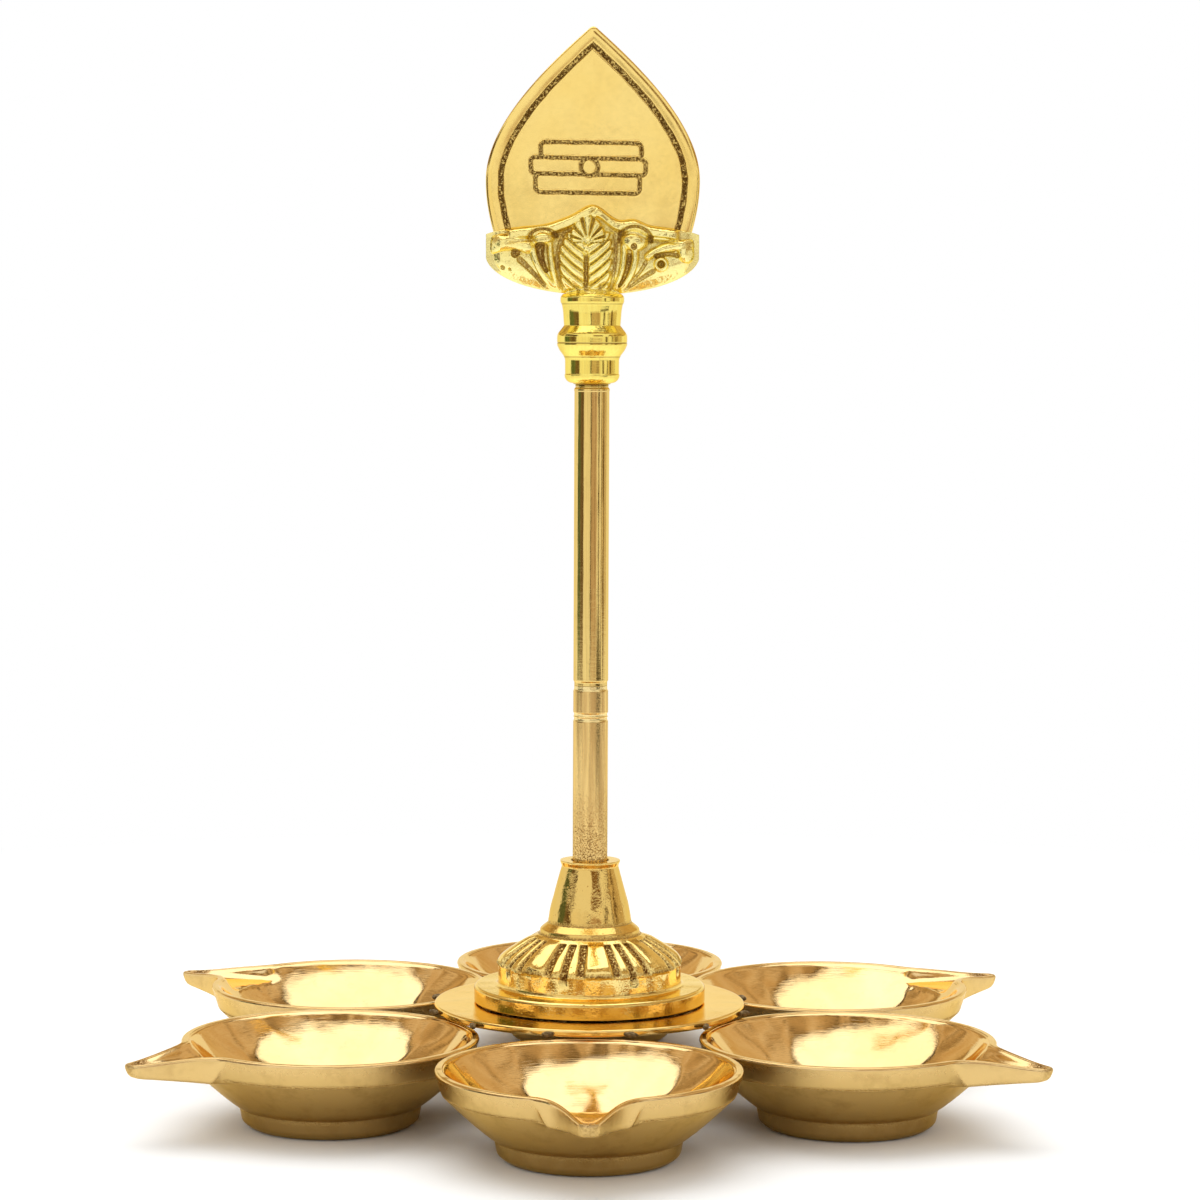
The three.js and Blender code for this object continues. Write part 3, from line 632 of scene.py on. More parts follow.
def cup_shape():
    place, out, share = rim_outline()
    wall = mix(lip_width, spout_wall, smooth(share * 1.5))[:, None]
    inner = place - out * wall
    edge = np.linalg.norm(place, axis=1)
    inner_edge = np.linalg.norm(inner, axis=1)
    outer_way = place / edge[:, None]
    inner_way = inner / inner_edge[:, None]
    lip = lip_height(edge)
    beak = smooth(share * 3)
    rings = []
    satin = []

    def ring(spot, height, dull):
        rings.append(np.column_stack([spot, np.broadcast_to(height, share.shape)]))
        satin.append(np.full(share.shape, dull))

    def level(way, radius, height, dull):
        ring(way * np.broadcast_to(radius, share.shape)[:, None], height, dull)

    def spout(radius, plain, top, start, end, drops, bend):
        """Heights of a surface of the cup that runs on out to the beak."""
        floor = rim_height - mix(*drops, unit((radius - start) / (spout_tip - start)))
        rise = unit((radius - start) / (end - start)) ** bend
        return mix(np.minimum(plain, top), np.minimum(plain, mix(floor, top, rise)), beak)

    def under(radius):
        drops = (keel_root_drop, keel_tip_drop)
        return spout(radius, flank_height(radius), lip - rim_round, keel_start, edge, drops, 32)

    def inside(radius):
        drops = (channel_root_drop, channel_tip_drop)
        return spout(radius, bowl_height(radius), lip, channel_start, inner_edge, drops, 5)

    foot = rounded([
        (0, 0), (sole_radius, 0, 0.5), (foot_radius - 0.55, 1.2, 0.6),
        (foot_radius, foot_height, 0.12), (foot_radius + 0.6, foot_height + 0.5),
    ])
    for radius, height in denser(foot, 1.5)[1:-1]:
        level(outer_way, radius, height, 1.0)
    for part in np.linspace(0.03, 1, 16):
        radius = np.full(share.shape, mix(foot_radius, keel_start, part))
        level(outer_way, radius, under(radius), 1.0)
    kink = (rim_radius - rim_band_inset - keel_start) / keel_setback
    parts = [0.12, 0.25, 0.38, 0.48, 0.52, kink, 0.575, 0.62, 0.72, 0.82, 0.9, 0.94, 0.97, 0.99, 1]
    for part in parts:
        radius = mix(keel_start, edge, part)
        notch = 0.25 * (part == kink) * (1 - beak)
        level(outer_way, radius - notch, under(radius), 1.0 - 0.6 * max(part - 0.6, 0))
    lip_round = 0.25
    over = [(0.3 * (1 - math.cos(turn)), rim_round * (1 - math.sin(turn)), 0.3)
            for turn in np.linspace(0.15, 1, 6) * math.pi / 2]
    over += [(part, 0.0, 0.1) for part in (0.42, 0.6, 0.78)]
    over += [(mix(0.8, 1, math.sin(turn)), lip_round * (1 - math.cos(turn)), 0.0)
             for turn in np.linspace(0.2, 1, 5) * math.pi / 2]
    for part, drop, dull in over:
        ring(place - out * wall * part, lip - drop, dull)
    for part in np.linspace(0.985, 0, 12):
        radius = mix(channel_start, inner_edge, part)
        level(inner_way, radius, np.minimum(inside(radius), lip - lip_round), 0.0)
    for part in np.linspace(0.985, 0.015, 56):
        radius = channel_start * part
        level(inner_way, radius, bowl_height(radius), 0.0)
    rings, satin = np.array(rings), np.array(satin)
    height = rings[..., 2]
    away = np.linalg.norm(rings[..., :2], axis=-1)
    groove = 0.9 * soft(height - (rim_height - rim_band_height), 0.45) * (away < rim_radius - 1)
    # painted shade: a dark line along the step at the top of the foot
    foot_step_painted_shade = 0.7 * soft(height - foot_height, 0.4)
    burnt = np.maximum(0.8 * soft(away - spout_tip + 3.5, 3.0) * (satin < 0.05),
                       0.6 * smooth((away - spout_tip + 1.6) / 1.2))
    # the worn mark: patina in the band's groove, soot near the spout's tip, and painted shade
    # along the foot step
    worn = unit((groove + foot_step_painted_shade) * (satin > 0.5) + burnt)
    shape = skin(rings, [0, 0, 0], [0, 0, float(bowl_height(0.0))])
    return shape, {"satin": satin, "worn": worn}


def solder_shape(seed):
    """A lump of solder: a squashed ball with a rough skin, about its own middle."""
    half = np.array([0.68, 1.5, 0.65])
    around, uneven = 24, 0.22
    angle = bearings(around)[0]
    rings = []
    for turn in np.linspace(0, math.pi, 15)[1:-1]:
        ball = half * about_axis(math.sin(turn), angle, np.full(around, -math.cos(turn)))
        rings.append(ball * (1 + uneven * grain(ball, 0.9, seed)[:, None]))
    return skin(rings, [0, 0, -half[2]], [0, 0, half[2]])


def make_cups():
    shape, marks = cup_shape()
    for i in range(cup_count):
        station = Matrix.Rotation(-math.pi / 2 + 2 * math.pi * i / cup_count, 4, "Z")
        turn = station @ Matrix.Translation((ring_distance * MM, 0, 0))
        cup = f"cup_{i + 1}"
        make(cup, "casting", shape, cup_finish, "base", turn, marks)
        for side in ("left", "right"):
            node = f"{cup}_solder_{side}"
            spot = turn.inverted() @ (sum(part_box(node), Vector()) / 2)
            yaw = Matrix.Rotation(math.atan2(spot.y, spot.x), 4, "Z")
            lump = solder_shape((i + 1) * 3.1 + len(side))
            lump_turn = turn @ Matrix.Translation(spot) @ yaw
            make(node, "lump", lump, solder_finish, "base", lump_turn)


make_cups()


# Disc and bell

def make_disc():
    profile = closed([
        (bolt_bore, disc_top, 0.1), (bolt_bore, disc_bottom, 0.1),
        (disc_radius, disc_bottom), (disc_radius, disc_top),
    ], 0.5)
    shape = turned(denser(profile, 1.2), disc_around)
    make("centre_disc", "plate", shape, disc_finish, "base")


ring_top = bell_bottom + ring_height
band_foot = ring_top + ring_slope
dome_bottom = band_foot + band_height
dome_top = dome_bottom + dome_height
bead_top = dome_top + bead_height
neck_top = bead_top + neck_height
cone_top = neck_top + cone_height
stem_hole_foot = low("base_stud").z - seat
bolt_hole_top = high("clamp_bolt").z + seat
bolt_boss = 6.4
lobe_period = 2 * math.pi / lobe_count


def lobes(angle, radius, up):
    """How far the dome's lobes bulge and how deep the flutes between them are."""
    across = ((angle + math.pi / 2 - lobe_turn) / lobe_period + 0.5) % 1
    lobe = 0.65 * smooth((0.2 - np.abs(across - 0.5)) / 0.05) + 0.35 * soft(across - 0.5, 0.24)
    flute = np.zeros(np.broadcast(angle, radius).shape)
    for middle, foot in ((0.76, -0.05), (0.0, -0.26), (1.0, -0.26), (0.24, -0.05)):
        away = np.abs(across - middle) * lobe_period * radius
        side = smooth((0.5 * flute_width + 0.15 - away) / 0.35)
        ends = smooth((up - foot) / 0.07) * smooth((0.92 - up) / 0.07)
        flute = np.maximum(flute, side * ends)
    return lobe, flute


def make_bell():
    socket_floor = stem_foot - seat
    bore = denser(rounded([
        (0, stem_hole_foot), (stud_bore, stem_hole_foot, 0.1), (stud_bore, socket_floor, 0.1),
        (socket_radius, socket_floor, 0.1), (socket_radius, collar_top - 0.8),
    ], 0.2), thread_step, stem_hole_foot, socket_floor)
    cone = denser(rounded([
        (socket_radius, collar_top - 0.7), (socket_radius, collar_top, 0.25),
        (collar_radius, collar_top, 0.12), (collar_radius, collar_top - 0.4, 0.15),
        (cone_top_radius + 0.05, cone_top + 0.2, 0.5), (cone_foot_radius - 0.1, neck_top, 6),
        (cone_foot_radius + 0.4, bead_top, 0.15), (bead_radius - 0.15, bead_top - bead_slope, 0.3),
        (bead_radius + 0.02, dome_top + 0.15, 0.12), (dome_top_radius, dome_top + 0.02),
    ], 0.2), smooth_step)
    up = np.linspace(1, 0, 56)
    dome = np.column_stack([mix(band_radius, dome_top_radius, up ** dome_curve),
                            mix(dome_bottom, dome_top, up)])
    rest = rounded([
        (band_radius + 0.05, dome_bottom - 0.05), (band_radius, dome_bottom - 0.6, 0.2),
        (band_radius, ring_top + 0.04, 0.9), (ring_radius - 0.5, ring_top),
        (ring_radius, ring_top - 0.5), (ring_radius, bell_bottom),
        (ring_radius - bell_wall, bell_bottom), (ring_radius - bell_wall, ring_top - 2, 0.8),
        (band_radius - bell_wall, ring_top, 0.8), (band_radius - bell_wall, dome_bottom - 2, 1),
        (bolt_boss + 1, dome_top - bell_wall, 1), (bolt_boss, dome_top - bell_wall - 1, 0.8),
        (bolt_boss, bell_bottom), (bolt_bore, bell_bottom, 0.2), (bolt_bore, bolt_hole_top),
        (0, bolt_hole_top),
    ])
    band = denser(rest[1:], 0.25, band_foot + 0.3, dome_bottom)
    profile = np.vstack([bore, cone, dome, denser(band, smooth_step)])
    radii, heights = profile[1:-1].T[..., None]
    outside = (radii > band_radius - 1.5) & (heights > band_foot)
    off_dome = 9.0
    share = np.where(outside, (heights - dome_bottom) / dome_height, off_dome)
    first = len(bore) + len(cone) - 1
    share[first:first + len(dome), 0] = up
    fluted = share < 2
    threaded = threads(stud_bore, (stem_hole_foot, stem_foot))

    def shape(radius, height, angle):
        lobe, flute = lobes(angle, radius, share)
        strength = smooth((share + 0.1) / 0.1) * mix(0.35, 1, smooth(share / 0.35))
        fade = smooth((1 - share) / 0.14)
        swell = lobe_bulge * lobe * strength * fade - flute_depth * flute
        carved = threaded(radius + np.where(fluted, swell, 0), height, angle)
        spots = about_axis(carved, angle, height)
        on_cast = (height > ring_top) & (radius > stem_radius + 1)
        rough = soft(share - 0.02, 0.16) * lobe * 0.3
        return carved + on_cast * (0.06 * grain(spots, 0.5, 2.0) + rough * grain(spots, 1.4, 6.0))

    lobe, flute = lobes(bearings(bell_around), radii, share)
    seam = 0.8 * soft(heights - bead_top - 0.1, 0.25) + soft(heights - dome_top - 0.2, 0.4)
    seam = seam * (radii > cone_foot_radius - 0.3) + 0.9 * (radii < socket_radius + 0.05)
    edge = soft(share - 0.02, 0.12) * mix(0.25, 0.7, lobe)
    worn = np.where(fluted, np.maximum(flute, edge), 0.6 * seam)
    shelf = (radii > band_radius + 0.1) & (heights > ring_top - 0.3)
    # painted shade: turned faces looking sideways are marked darker; the flutes, the ring's top
    # edge and the collar's top stay bright
    side_shade_share = np.where(fluted | shelf, 0, 0.75) * (heights < collar_top - 0.1)
    marks = {"worn": unit(worn), "turned": side_shade_share * np.ones((1, bell_around))}
    make("fluted_bell", "casting", turned(profile, bell_around, shape), bell_finish,
         "base", marks=marks)


make_disc()
make_bell()


# The stem and its studs

def make_stud(node, body):
    bottom, top = low(node).z, high(node).z
    profile = rounded([
        (0, bottom), (stud_radius - 0.4, bottom), (stud_radius, bottom + 0.4),
        (stud_radius, top - 0.4), (stud_radius - 0.4, top), (0, top),
    ], 0.1, 3)
    profile = denser(profile, thread_step, bottom + 0.4, top - 0.4)
    shape = turned(profile, stud_around, threads(stud_radius, (bottom, top)))
    make(node, "screw", shape, dull_finish, body)


stud_hold = high("base_stud").z - stem_foot


def rod(node, stud_above, side):
    """The profile of a rod with a threaded bore at each end, and its shape."""
    foot, top = low(node).z, high(node).z
    blind, deep = foot + stud_hold + seat, low(stud_above).z - seat
    profile = rounded([
        (0, blind), (stud_bore, blind), (stud_bore, side[0][1]), *side,
        (stud_bore, side[-1][1]), (stud_bore, deep), (0, deep),
    ], 0.1, 5)
    profile = denser(denser(profile, thread_step, foot, blind), thread_step, deep, top)
    return profile, turned(profile, stem_around, threads(stud_bore, (foot, blind), (deep, top)))


def make_lower_stem():
    top = lower_stem_top + face_seat
    upper_groove = lower_stem_top - groove_width / 2
    groove_end = upper_groove - groove_band
    lower_groove = groove_end - groove_width
    profile, shape = rod("lower_stem", "middle_stud", [
        (groove_floor, stem_foot), (stem_radius, stem_foot + groove_depth),
        (stem_radius, lower_groove, 0.15), (groove_floor, lower_groove + 0.35, 0.15),
        (groove_floor, lower_groove + 0.8, 0.05), (groove_floor + 0.2, lower_groove + 1.0, 0.15),
        (groove_floor, lower_groove + 1.2, 0.05), (groove_floor, groove_end - 0.35, 0.15),
        (stem_radius, groove_end, 0.15), (stem_radius, upper_groove, 0.15),
        (groove_floor, upper_groove + 0.35, 0.15), (groove_floor, top, 0.08),
    ])
    radii, height = profile[1:-1].T[..., None]
    # painted highlight: the faces inside the grooves are marked to be painted pale
    bright = (radii < stem_radius - 0.02) & (radii > stud_bore + 0.3) & (height > lower_groove)
    make("lower_stem", "rod", shape, dull_finish, "lower_stem_body",
         marks={"worn": 0.8 * bright * np.ones((1, stem_around))})


def make_upper_stem():
    plain_foot = upper_stem_foot + groove_width / 2
    top = upper_stem_top + face_seat
    rim = stem_radius + groove_depth / 3
    _, shape = rod("upper_stem", "finial_stud", [
        (groove_floor, upper_stem_foot - face_seat, 0.08), (groove_floor, plain_foot - 0.35, 0.15),
        (stem_radius, plain_foot, 0.15), (stem_radius, top - 1.1), (rim, top - 0.9),
        (rim, top - 0.5), (groove_floor, top - 0.2), (groove_floor, top, 0.05),
    ])
    make("upper_stem", "rod", shape, drawn_finish, "upper_stem_body")


make_stud("base_stud", "lower_stud_body")
make_stud("middle_stud", "middle_stud_body")
make_stud("finial_stud", "finial_stud_body")
make_lower_stem()
make_upper_stem()


# The finial: its turned neck

def make_socket():
    foot = neck_foot - face_seat
    under_top = neck_foot + 2.3
    bulge_foot = under_top + 4.1
    bulge_middle = bulge_foot + 3.1
    bulge_top = bulge_middle + 3.8
    flange_foot = flange_top - 1.7
    rim = crown_foot + 0.25
    blind = neck_foot + stud_hold + seat
    shaft = stem_radius + 0.2
    bore = rounded([
        (0, blind), (stud_bore, blind), (stud_bore, foot), (shaft - 0.4, foot, 0.05),
        (shaft - 0.4, foot + 0.4, 0.05), (shaft, foot + 0.5, 0.05), (shaft + 0.1, foot + 0.7),
    ], 0.1, 5)[:-1]
    turn = np.linspace(0, math.pi / 2, 12)
    underside = np.column_stack([mix(stem_radius + 0.35, 6.1, np.sin(turn)),
                                 mix(foot + 0.7, under_top, 1 - np.cos(turn))])
    lower = rounded([
        (6.12, under_top + 0.1), (6.0, under_top + 0.35), (6.02, bulge_foot - 0.6, 0.5),
        (6.25, bulge_foot),
    ], 0.1, 5)
    bulge_low = rounded([
        (6.3, bulge_foot + 0.05), (6.4, bulge_foot + 0.3, 0.2), (7.3, bulge_foot + 1.5, 0.6),
        (7.78, bulge_middle - 0.5, 0.5), (7.8, bulge_middle - 0.1, 0.1),
        (7.7, bulge_middle - 0.03),
    ], 0.3, 8)
    bulge_high = rounded([
        (7.7, bulge_middle), (7.8, bulge_middle + 0.2, 0.1), (7.78, bulge_middle + 1.9, 0.7),
        (6.3, bulge_top, 0.25), (6.3, bulge_top + 0.3),
    ], 0.3, 10)
    upper = rounded([
        (6.32, bulge_top + 0.5), (6.5, flange_foot - 1.6, 0.8), (6.75, flange_foot - 0.2, 0.3),
        (7.08, flange_foot + 0.4, 0.5), (7.08, rim - 0.7, 0.5), (6.5, rim, 0.3), (0, rim),
    ], 0.1, 8)
    bore = denser(bore, thread_step, neck_foot + 0.7, blind)
    profile = np.vstack([bore, underside, lower, bulge_low, bulge_high, upper])
    shape = turned(profile, neck_around, threads(stud_bore, (neck_foot, blind)))
    radii, heights = profile[1:-1].T[..., None]
    lines = ((foot + 0.35, 1, 0.5), (bulge_middle, 0.8, 0.25), (bulge_foot, 0.6, 0.25),
             (flange_foot, 0.5, 0.25))
    worn = sum(depth * soft(heights - line, width) for line, depth, width in lines)
    marks = {"worn": unit(worn) * (radii > 3) * np.ones((1, neck_around))}
    make("finial_socket", "neck", shape, neck_finish, "finial_body", marks=marks)


make_socket()


# The finial: the leaf crown. Heights are measured up from its bottom.

crown_end_height = 8.7
crown_band_height = 15.4
crown_crest = 4.4
crown_crest_width = 4.6
crown_fall = 2.2
crown_foot_radius = 6.5
crown_end_depth = blade_thickness / 2 + seat + 1.5
crown_mid_depth = crown_end_depth + 2.3


def crown_bottom(x):
    return crown_end_height * (1 - hump(x, crown_half))


def crown_top(x):
    fall = crown_fall * (np.abs(x) / crown_half) ** 4
    crest = crown_crest * np.exp(-((x / crown_crest_width) ** 2))
    shoulders = 0.9 * np.exp(-(((x + 6.5) / 3.5) ** 2)) + 1.3 * np.exp(-(((x - 9) / 2.6) ** 2))
    return crown_band_height - fall + crest + shoulders


def line_distance(x, h, line):
    """Distance to a line through points, and the share of the way along it."""
    best = np.full(x.shape, 1e9)
    share = np.zeros(x.shape)
    for i, (a, b) in enumerate(zip(line, line[1:])):
        step = b - a
        on = unit(((x - a[0]) * step[0] + (h - a[1]) * step[1]) / (step @ step))
        distance = np.hypot(x - a[0] - on * step[0], h - a[1] - on * step[1])
        share = np.where(distance < best, (i + on) / (len(line) - 1), share)
        best = np.minimum(best, distance)
    return best, share


def middle_leaf(x, h):
    """The leaf in the middle: the form of its plump side lobes, and the cuts between them."""
    off = x + 1.4
    left = np.interp(h, [0, 3, 9.7, 13.5, 15], [5.2, 5.9, 6.6, 4.5, 2.0])
    right = np.interp(h, [0, 3, 9.7, 13.5, 15], [4.9, 5.5, 6.2, 5.6, 3.0])
    half = np.where(off < 0, left, right)
    side = np.abs(off)
    vein = (h - 0.55 * side - 0.05 * side ** 2 + 0.9 * (off > 0)) / 2.3
    across = np.abs((vein % 1) - 0.5) * 2
    tip = half - 0.7 * across ** 2
    inside = smooth((tip - side) / 0.7)
    lobe = 0.5 + 1.25 * hump(across) * smooth((side + 0.3) / 1.2)
    cut = smooth((across - 0.76) / 0.2) * smooth((side - 0.5) / 0.8) * inside
    rib = smooth((0.55 - side) / 0.25) * smooth((9.2 - h) / 1.5)
    second = smooth((0.4 - np.abs(x - 1.7)) / 0.25) * smooth((2.6 - h) / 1.2)
    return lobe * inside, np.maximum(0.75 * cut, 1.2 * np.maximum(rib, second))


def bud(x, h):
    """The fan of petals over the leaf, opening upwards."""
    dx, dh = x + 1.1, h - 11.6
    reach = np.hypot(dx, dh)
    turn = np.arctan2(dx, dh)
    full = 6.1 - 1.5 * np.abs(turn)
    across = np.abs(((turn / 0.5 + 0.5) % 1) - 0.5) * 2
    there = smooth((1.75 - np.abs(turn)) / 0.2) * smooth((full - reach) / 0.6)
    petal = hump(across) * smooth(reach / 1.6)
    cut = smooth((across - 0.62) / 0.3) * smooth((reach - 1.1) / 0.8)
    rim = soft(reach - full - 0.35, 0.6) * (np.abs(turn) < 1.7)
    return (0.7 + 1.1 * petal) * there, np.maximum(cut * there, 0.8 * rim)


def crown_carving(x, h):
    """How far the ornament stands out of the crown's body, and how deep its hollows are."""
    relief, hollow = np.zeros(x.shape), np.zeros(x.shape)

    def raise_by(amount):
        np.maximum(relief, amount, out=relief)

    def sink_by(amount):
        np.maximum(hollow, amount, out=hollow)

    def along(path, start, end):
        """A round ridge along a curve, with a width at its start and one at its end."""
        away, way = line_distance(x, h, bezier(40, *path))
        return hump(away, mix(start, end, way))

    def stalk(path, start, end, rise):
        raise_by(rise * along(path, start, end))

    def ditch(path, start, end, depth):
        sink_by(depth * along(path, start, end))

    def knob(middle_x, middle_h, wide, high_part, rise):
        raise_by(rise * hump(np.hypot((x - middle_x) / wide, (h - middle_h) / high_part)))

    def hole(middle_x, middle_h, size, depth):
        sink_by(depth * hump(np.hypot(x - middle_x, h - middle_h), size))

    # the smooth band along the top, over the bud and out to both sides
    below = crown_top(x) - h
    reach = smooth((19.5 - np.abs(x)) / 1.5)
    raise_by(1.5 * reach * smooth((3.0 - below) / 0.9) * (1 + 0.12 * below))
    sink_by(0.6 * reach * soft(below - 3.3, 0.5) * smooth((np.abs(x) - 3.5) / 1.5))
    knob(15.4, 12.4, 2.6, 0.9, 1.0)

    leaf, cuts = middle_leaf(x, h)
    fan, gaps = bud(x, h)
    over = fan > 0.2
    raise_by(np.where(over, fan, leaf))
    sink_by(np.where(over, gaps, cuts))
    knob(-1.4, 10.2, 1.0, 1.1, 1.9)
    ditch([(-6.4, 13.3), (-8.8, 8.0), (-6.9, 1.2)], 0.5, 0.6, 0.7)
    ditch([(5.0, 13.0), (5.5, 7.0), (3.9, 1.0)], 0.5, 0.4, 0.7)

    # on the left a knob, and two stalks from it to the bottom with a recess between them
    knob(-10.9, 12.4, 2.6, 1.7, 2.9)
    sink_by(1.4 * soft(np.hypot((x + 10.9) / 3.0, (h - 12.3) / 2.1) - 1, 0.22) * smooth(h - 12.0))
    stalk([(-9.4, 12.4), (-9.6, 5.5), (-6.6, 0.1)], 0.75, 0.8, 1.5)
    stalk([(-13.3, 11.6), (-13.2, 5.6), (-6.9, 0.1)], 0.9, 0.75, 1.3)
    ditch([(-11.5, 10.6), (-11.8, 7.8), (-10.2, 5.2)], 1.0, 0.5, 1.4)

    # on the right a rounder knob with a hole, and two stalks from it
    knob(9.3, 12.0, 3.1, 2.5, 2.8)
    sink_by(1.4 * soft(np.hypot((x - 9.3) / 3.6, (h - 12.0) / 3.0) - 1, 0.16) * smooth(h - 11.0))
    hole(9.1, 10.6, 0.75, 1.7)
    hole(10.9, 12.0, 0.4, 0.7)
    stalk([(6.9, 10.6), (7.2, 5.0), (4.6, 0.6)], 0.85, 0.6, 1.5)
    stalk([(9.4, 9.6), (9.9, 5.0), (5.4, 0.1)], 0.9, 0.6, 1.4)
    ditch([(8.0, 8.6), (8.2, 5.6), (5.9, 2.0)], 0.55, 0.35, 1.0)

    # the curls at both ends, with their eyes, pits and grooves
    stalk([(-14.4, 10.6), (-18.0, 12.2), (-22.4, 10.8)], 1.7, 2.0, 2.2)
    hole(-17.0, 9.0, 1.0, 1.5)
    hole(-19.8, 5.9, 0.5, 1.0)
    hole(-18.2, 5.5, 0.35, 0.8)
    ditch([(-16.0, 7.6), (-13.4, 5.4), (-10.6, 1.9)], 0.75, 0.4, 1.3)
    stalk([(12.2, 8.4), (15.5, 11.2), (22.6, 10.9)], 0.9, 1.4, 1.7)
    knob(20.9, 9.3, 2.3, 2.3, 2.3)
    raise_by(1.6 * hump(np.abs(np.hypot(x - 15.1, h - 6.7) - 1.15), 0.5))
    hole(15.1, 6.7, 0.7, 1.3)
    ditch([(13.9, 8.6), (17.0, 9.3), (18.8, 8.6)], 0.5, 0.5, 1.1)
    ditch([(13.3, 5.2), (10.6, 3.6), (7.0, 0.9)], 0.6, 0.35, 1.1)
    ditch([(11.7, 7.0), (10.4, 4.6), (8.2, 2.4)], 0.5, 0.3, 0.9)
    return relief, hollow


def make_crown():
    columns, rows = 330, 110
    turn = np.linspace(0, math.pi, columns + 2)[1:-1]
    x = crown_half * -mix(np.cos(turn), 1 - 2 * turn / math.pi, 0.7)[:, None]
    up = np.linspace(0, 1, rows)[None, :]
    x = x * np.ones_like(up)
    across = 1 - (x / crown_half) ** 2
    bottom, top = crown_bottom(x), crown_top(x)
    body = mix(crown_end_depth, crown_mid_depth, across) * np.minimum(1, 1.6 * across ** 0.35)
    h = mix(bottom, top, up)
    swell = np.sqrt(1 - (1 - np.minimum(up / 0.4 + 0.12, 1)) ** 2)
    draw = mix(1, crown_end_depth / crown_mid_depth, smooth((up - 0.35) / 0.6) * across)
    relief, hollow = crown_carving(x, h)
    fade = np.minimum(1, 4 * across) * smooth((h - bottom) / 1.2)
    lip = hump(1 - unit((top - h) / 1.3))
    carved = body * swell * draw - 1.1 + relief * fade - 0.7 * hollow * fade
    foot = np.sqrt(np.maximum(crown_foot_radius ** 2 - x ** 2, 0)) - 0.9 * h
    carved = np.maximum(carved, foot)
    spots = np.stack([x, carved, h], -1)
    carved = carved + 0.1 * grain(spots, 0.8, 5.0) + 0.05 * grain(spots, 2.4, 8.0)
    inner = blade_thickness / 2 + 0.1
    depth = np.where(h > 5, mix(inner, np.maximum(carved, inner + 0.05), lip), carved)
    depth = np.maximum(depth, 0.05)
    front = np.stack([x, -depth, crown_foot + h], -1)
    back = front[:, ::-1] * (1, -1, 1)
    rings = np.concatenate([front, back], axis=1)
    end = crown_foot + (crown_end_height + float(crown_top(np.array(crown_half)))) / 2
    shape = skin(rings, [-crown_half, 0, end], [crown_half, 0, end])
    ground = unit(1 - relief / 0.5) * smooth((h - bottom - 2.6 - 0.2 * np.abs(x)) / 1.5)
    worn = unit(0.35 * ground * smooth((top - h) / 1.5) + 0.55 * hollow) * fade
    worn = worn * smooth((h - 0.5) / 0.6)
    marks = {"worn": np.concatenate([worn, worn[:, ::-1]], axis=1)}
    make("leaf_crown", "casting", shape, crown_finish, "finial_body", marks=marks)


make_crown()


# The finial: the spearhead

blade_widest = 19.5
border_width = 2.7
border_groove = 1.25
border_groove_depth = 0.6
blade_nose = 1.2
mark_cut = 0.45
mark_bars = ((-11.5, 10.7, 208.9, 212.3, -0.012), (-13.7, 11.6, 205.3, 208.9, -0.02),
             (-12.7, 10.3, 201.3, 205.3, -0.015))
mark_ring = (-0.75, 207.0)
mark_ring_radius = 1.85
mark_foot, mark_top = 200.5, 213.2


def blade_side():
    """The right-hand edge of the plate, from its bottom corner up to its tip."""
    widest = blade_foot + blade_widest
    reach = blade_tip - widest
    foot = (crown_half - 4.8, blade_foot)
    pull = (crown_half, mix(blade_foot, widest, 0.55))
    full = (crown_half, widest)
    first = (crown_half + 0.2, widest + 0.345 * reach)
    second = (blade_nose + 0.43 * crown_half, blade_tip - 0.285 * reach)
    end = (blade_nose, blade_tip - 0.6 * blade_nose)
    corner = (0.45 * blade_nose, blade_tip)
    return np.vstack([bezier(40, foot, pull, full), bezier(90, full, first, second, end)[1:],
                      bezier(8, end, corner, (0, blade_tip))[1:]])


def bar_line(x, z, left, right, bottom, top, lean):
    """Distance to the outline of a bar with round corners that leans a little."""
    corner = 1.1
    middle_x, middle_z = (left + right) / 2, (bottom + top) / 2
    u = np.abs(x - middle_x) - (right - left) / 2 + corner
    v = np.abs(z - middle_z - lean * (x - middle_x)) - (top - bottom) / 2 + corner
    outside = np.hypot(np.maximum(u, 0), np.maximum(v, 0)) + np.minimum(np.maximum(u, v), 0)
    return np.abs(outside - corner)


def mark_depth(x, z):
    """The engraved mark of three bars and a ring, cut by hand with a punch."""
    spots = np.stack([x, 0 * x, z], -1)
    wobble = 0.16 * grain(spots, 0.45, 11.0)
    x, z = x + wobble, z + 0.7 * wobble
    line = np.minimum.reduce([bar_line(x, z, *bar) for bar in mark_bars])
    ring = np.hypot(x - mark_ring[0], (z - mark_ring[1]) * 0.95)
    line = np.where(ring < mark_ring_radius + 0.15, 9.0, line)
    line = np.minimum(line, np.abs(ring - mark_ring_radius))
    uneven = 0.8 + 0.25 * grain(np.stack([x, 0 * x, z], -1), 1.7, 4.0)
    return smooth((0.58 - line) / 0.28) * uneven


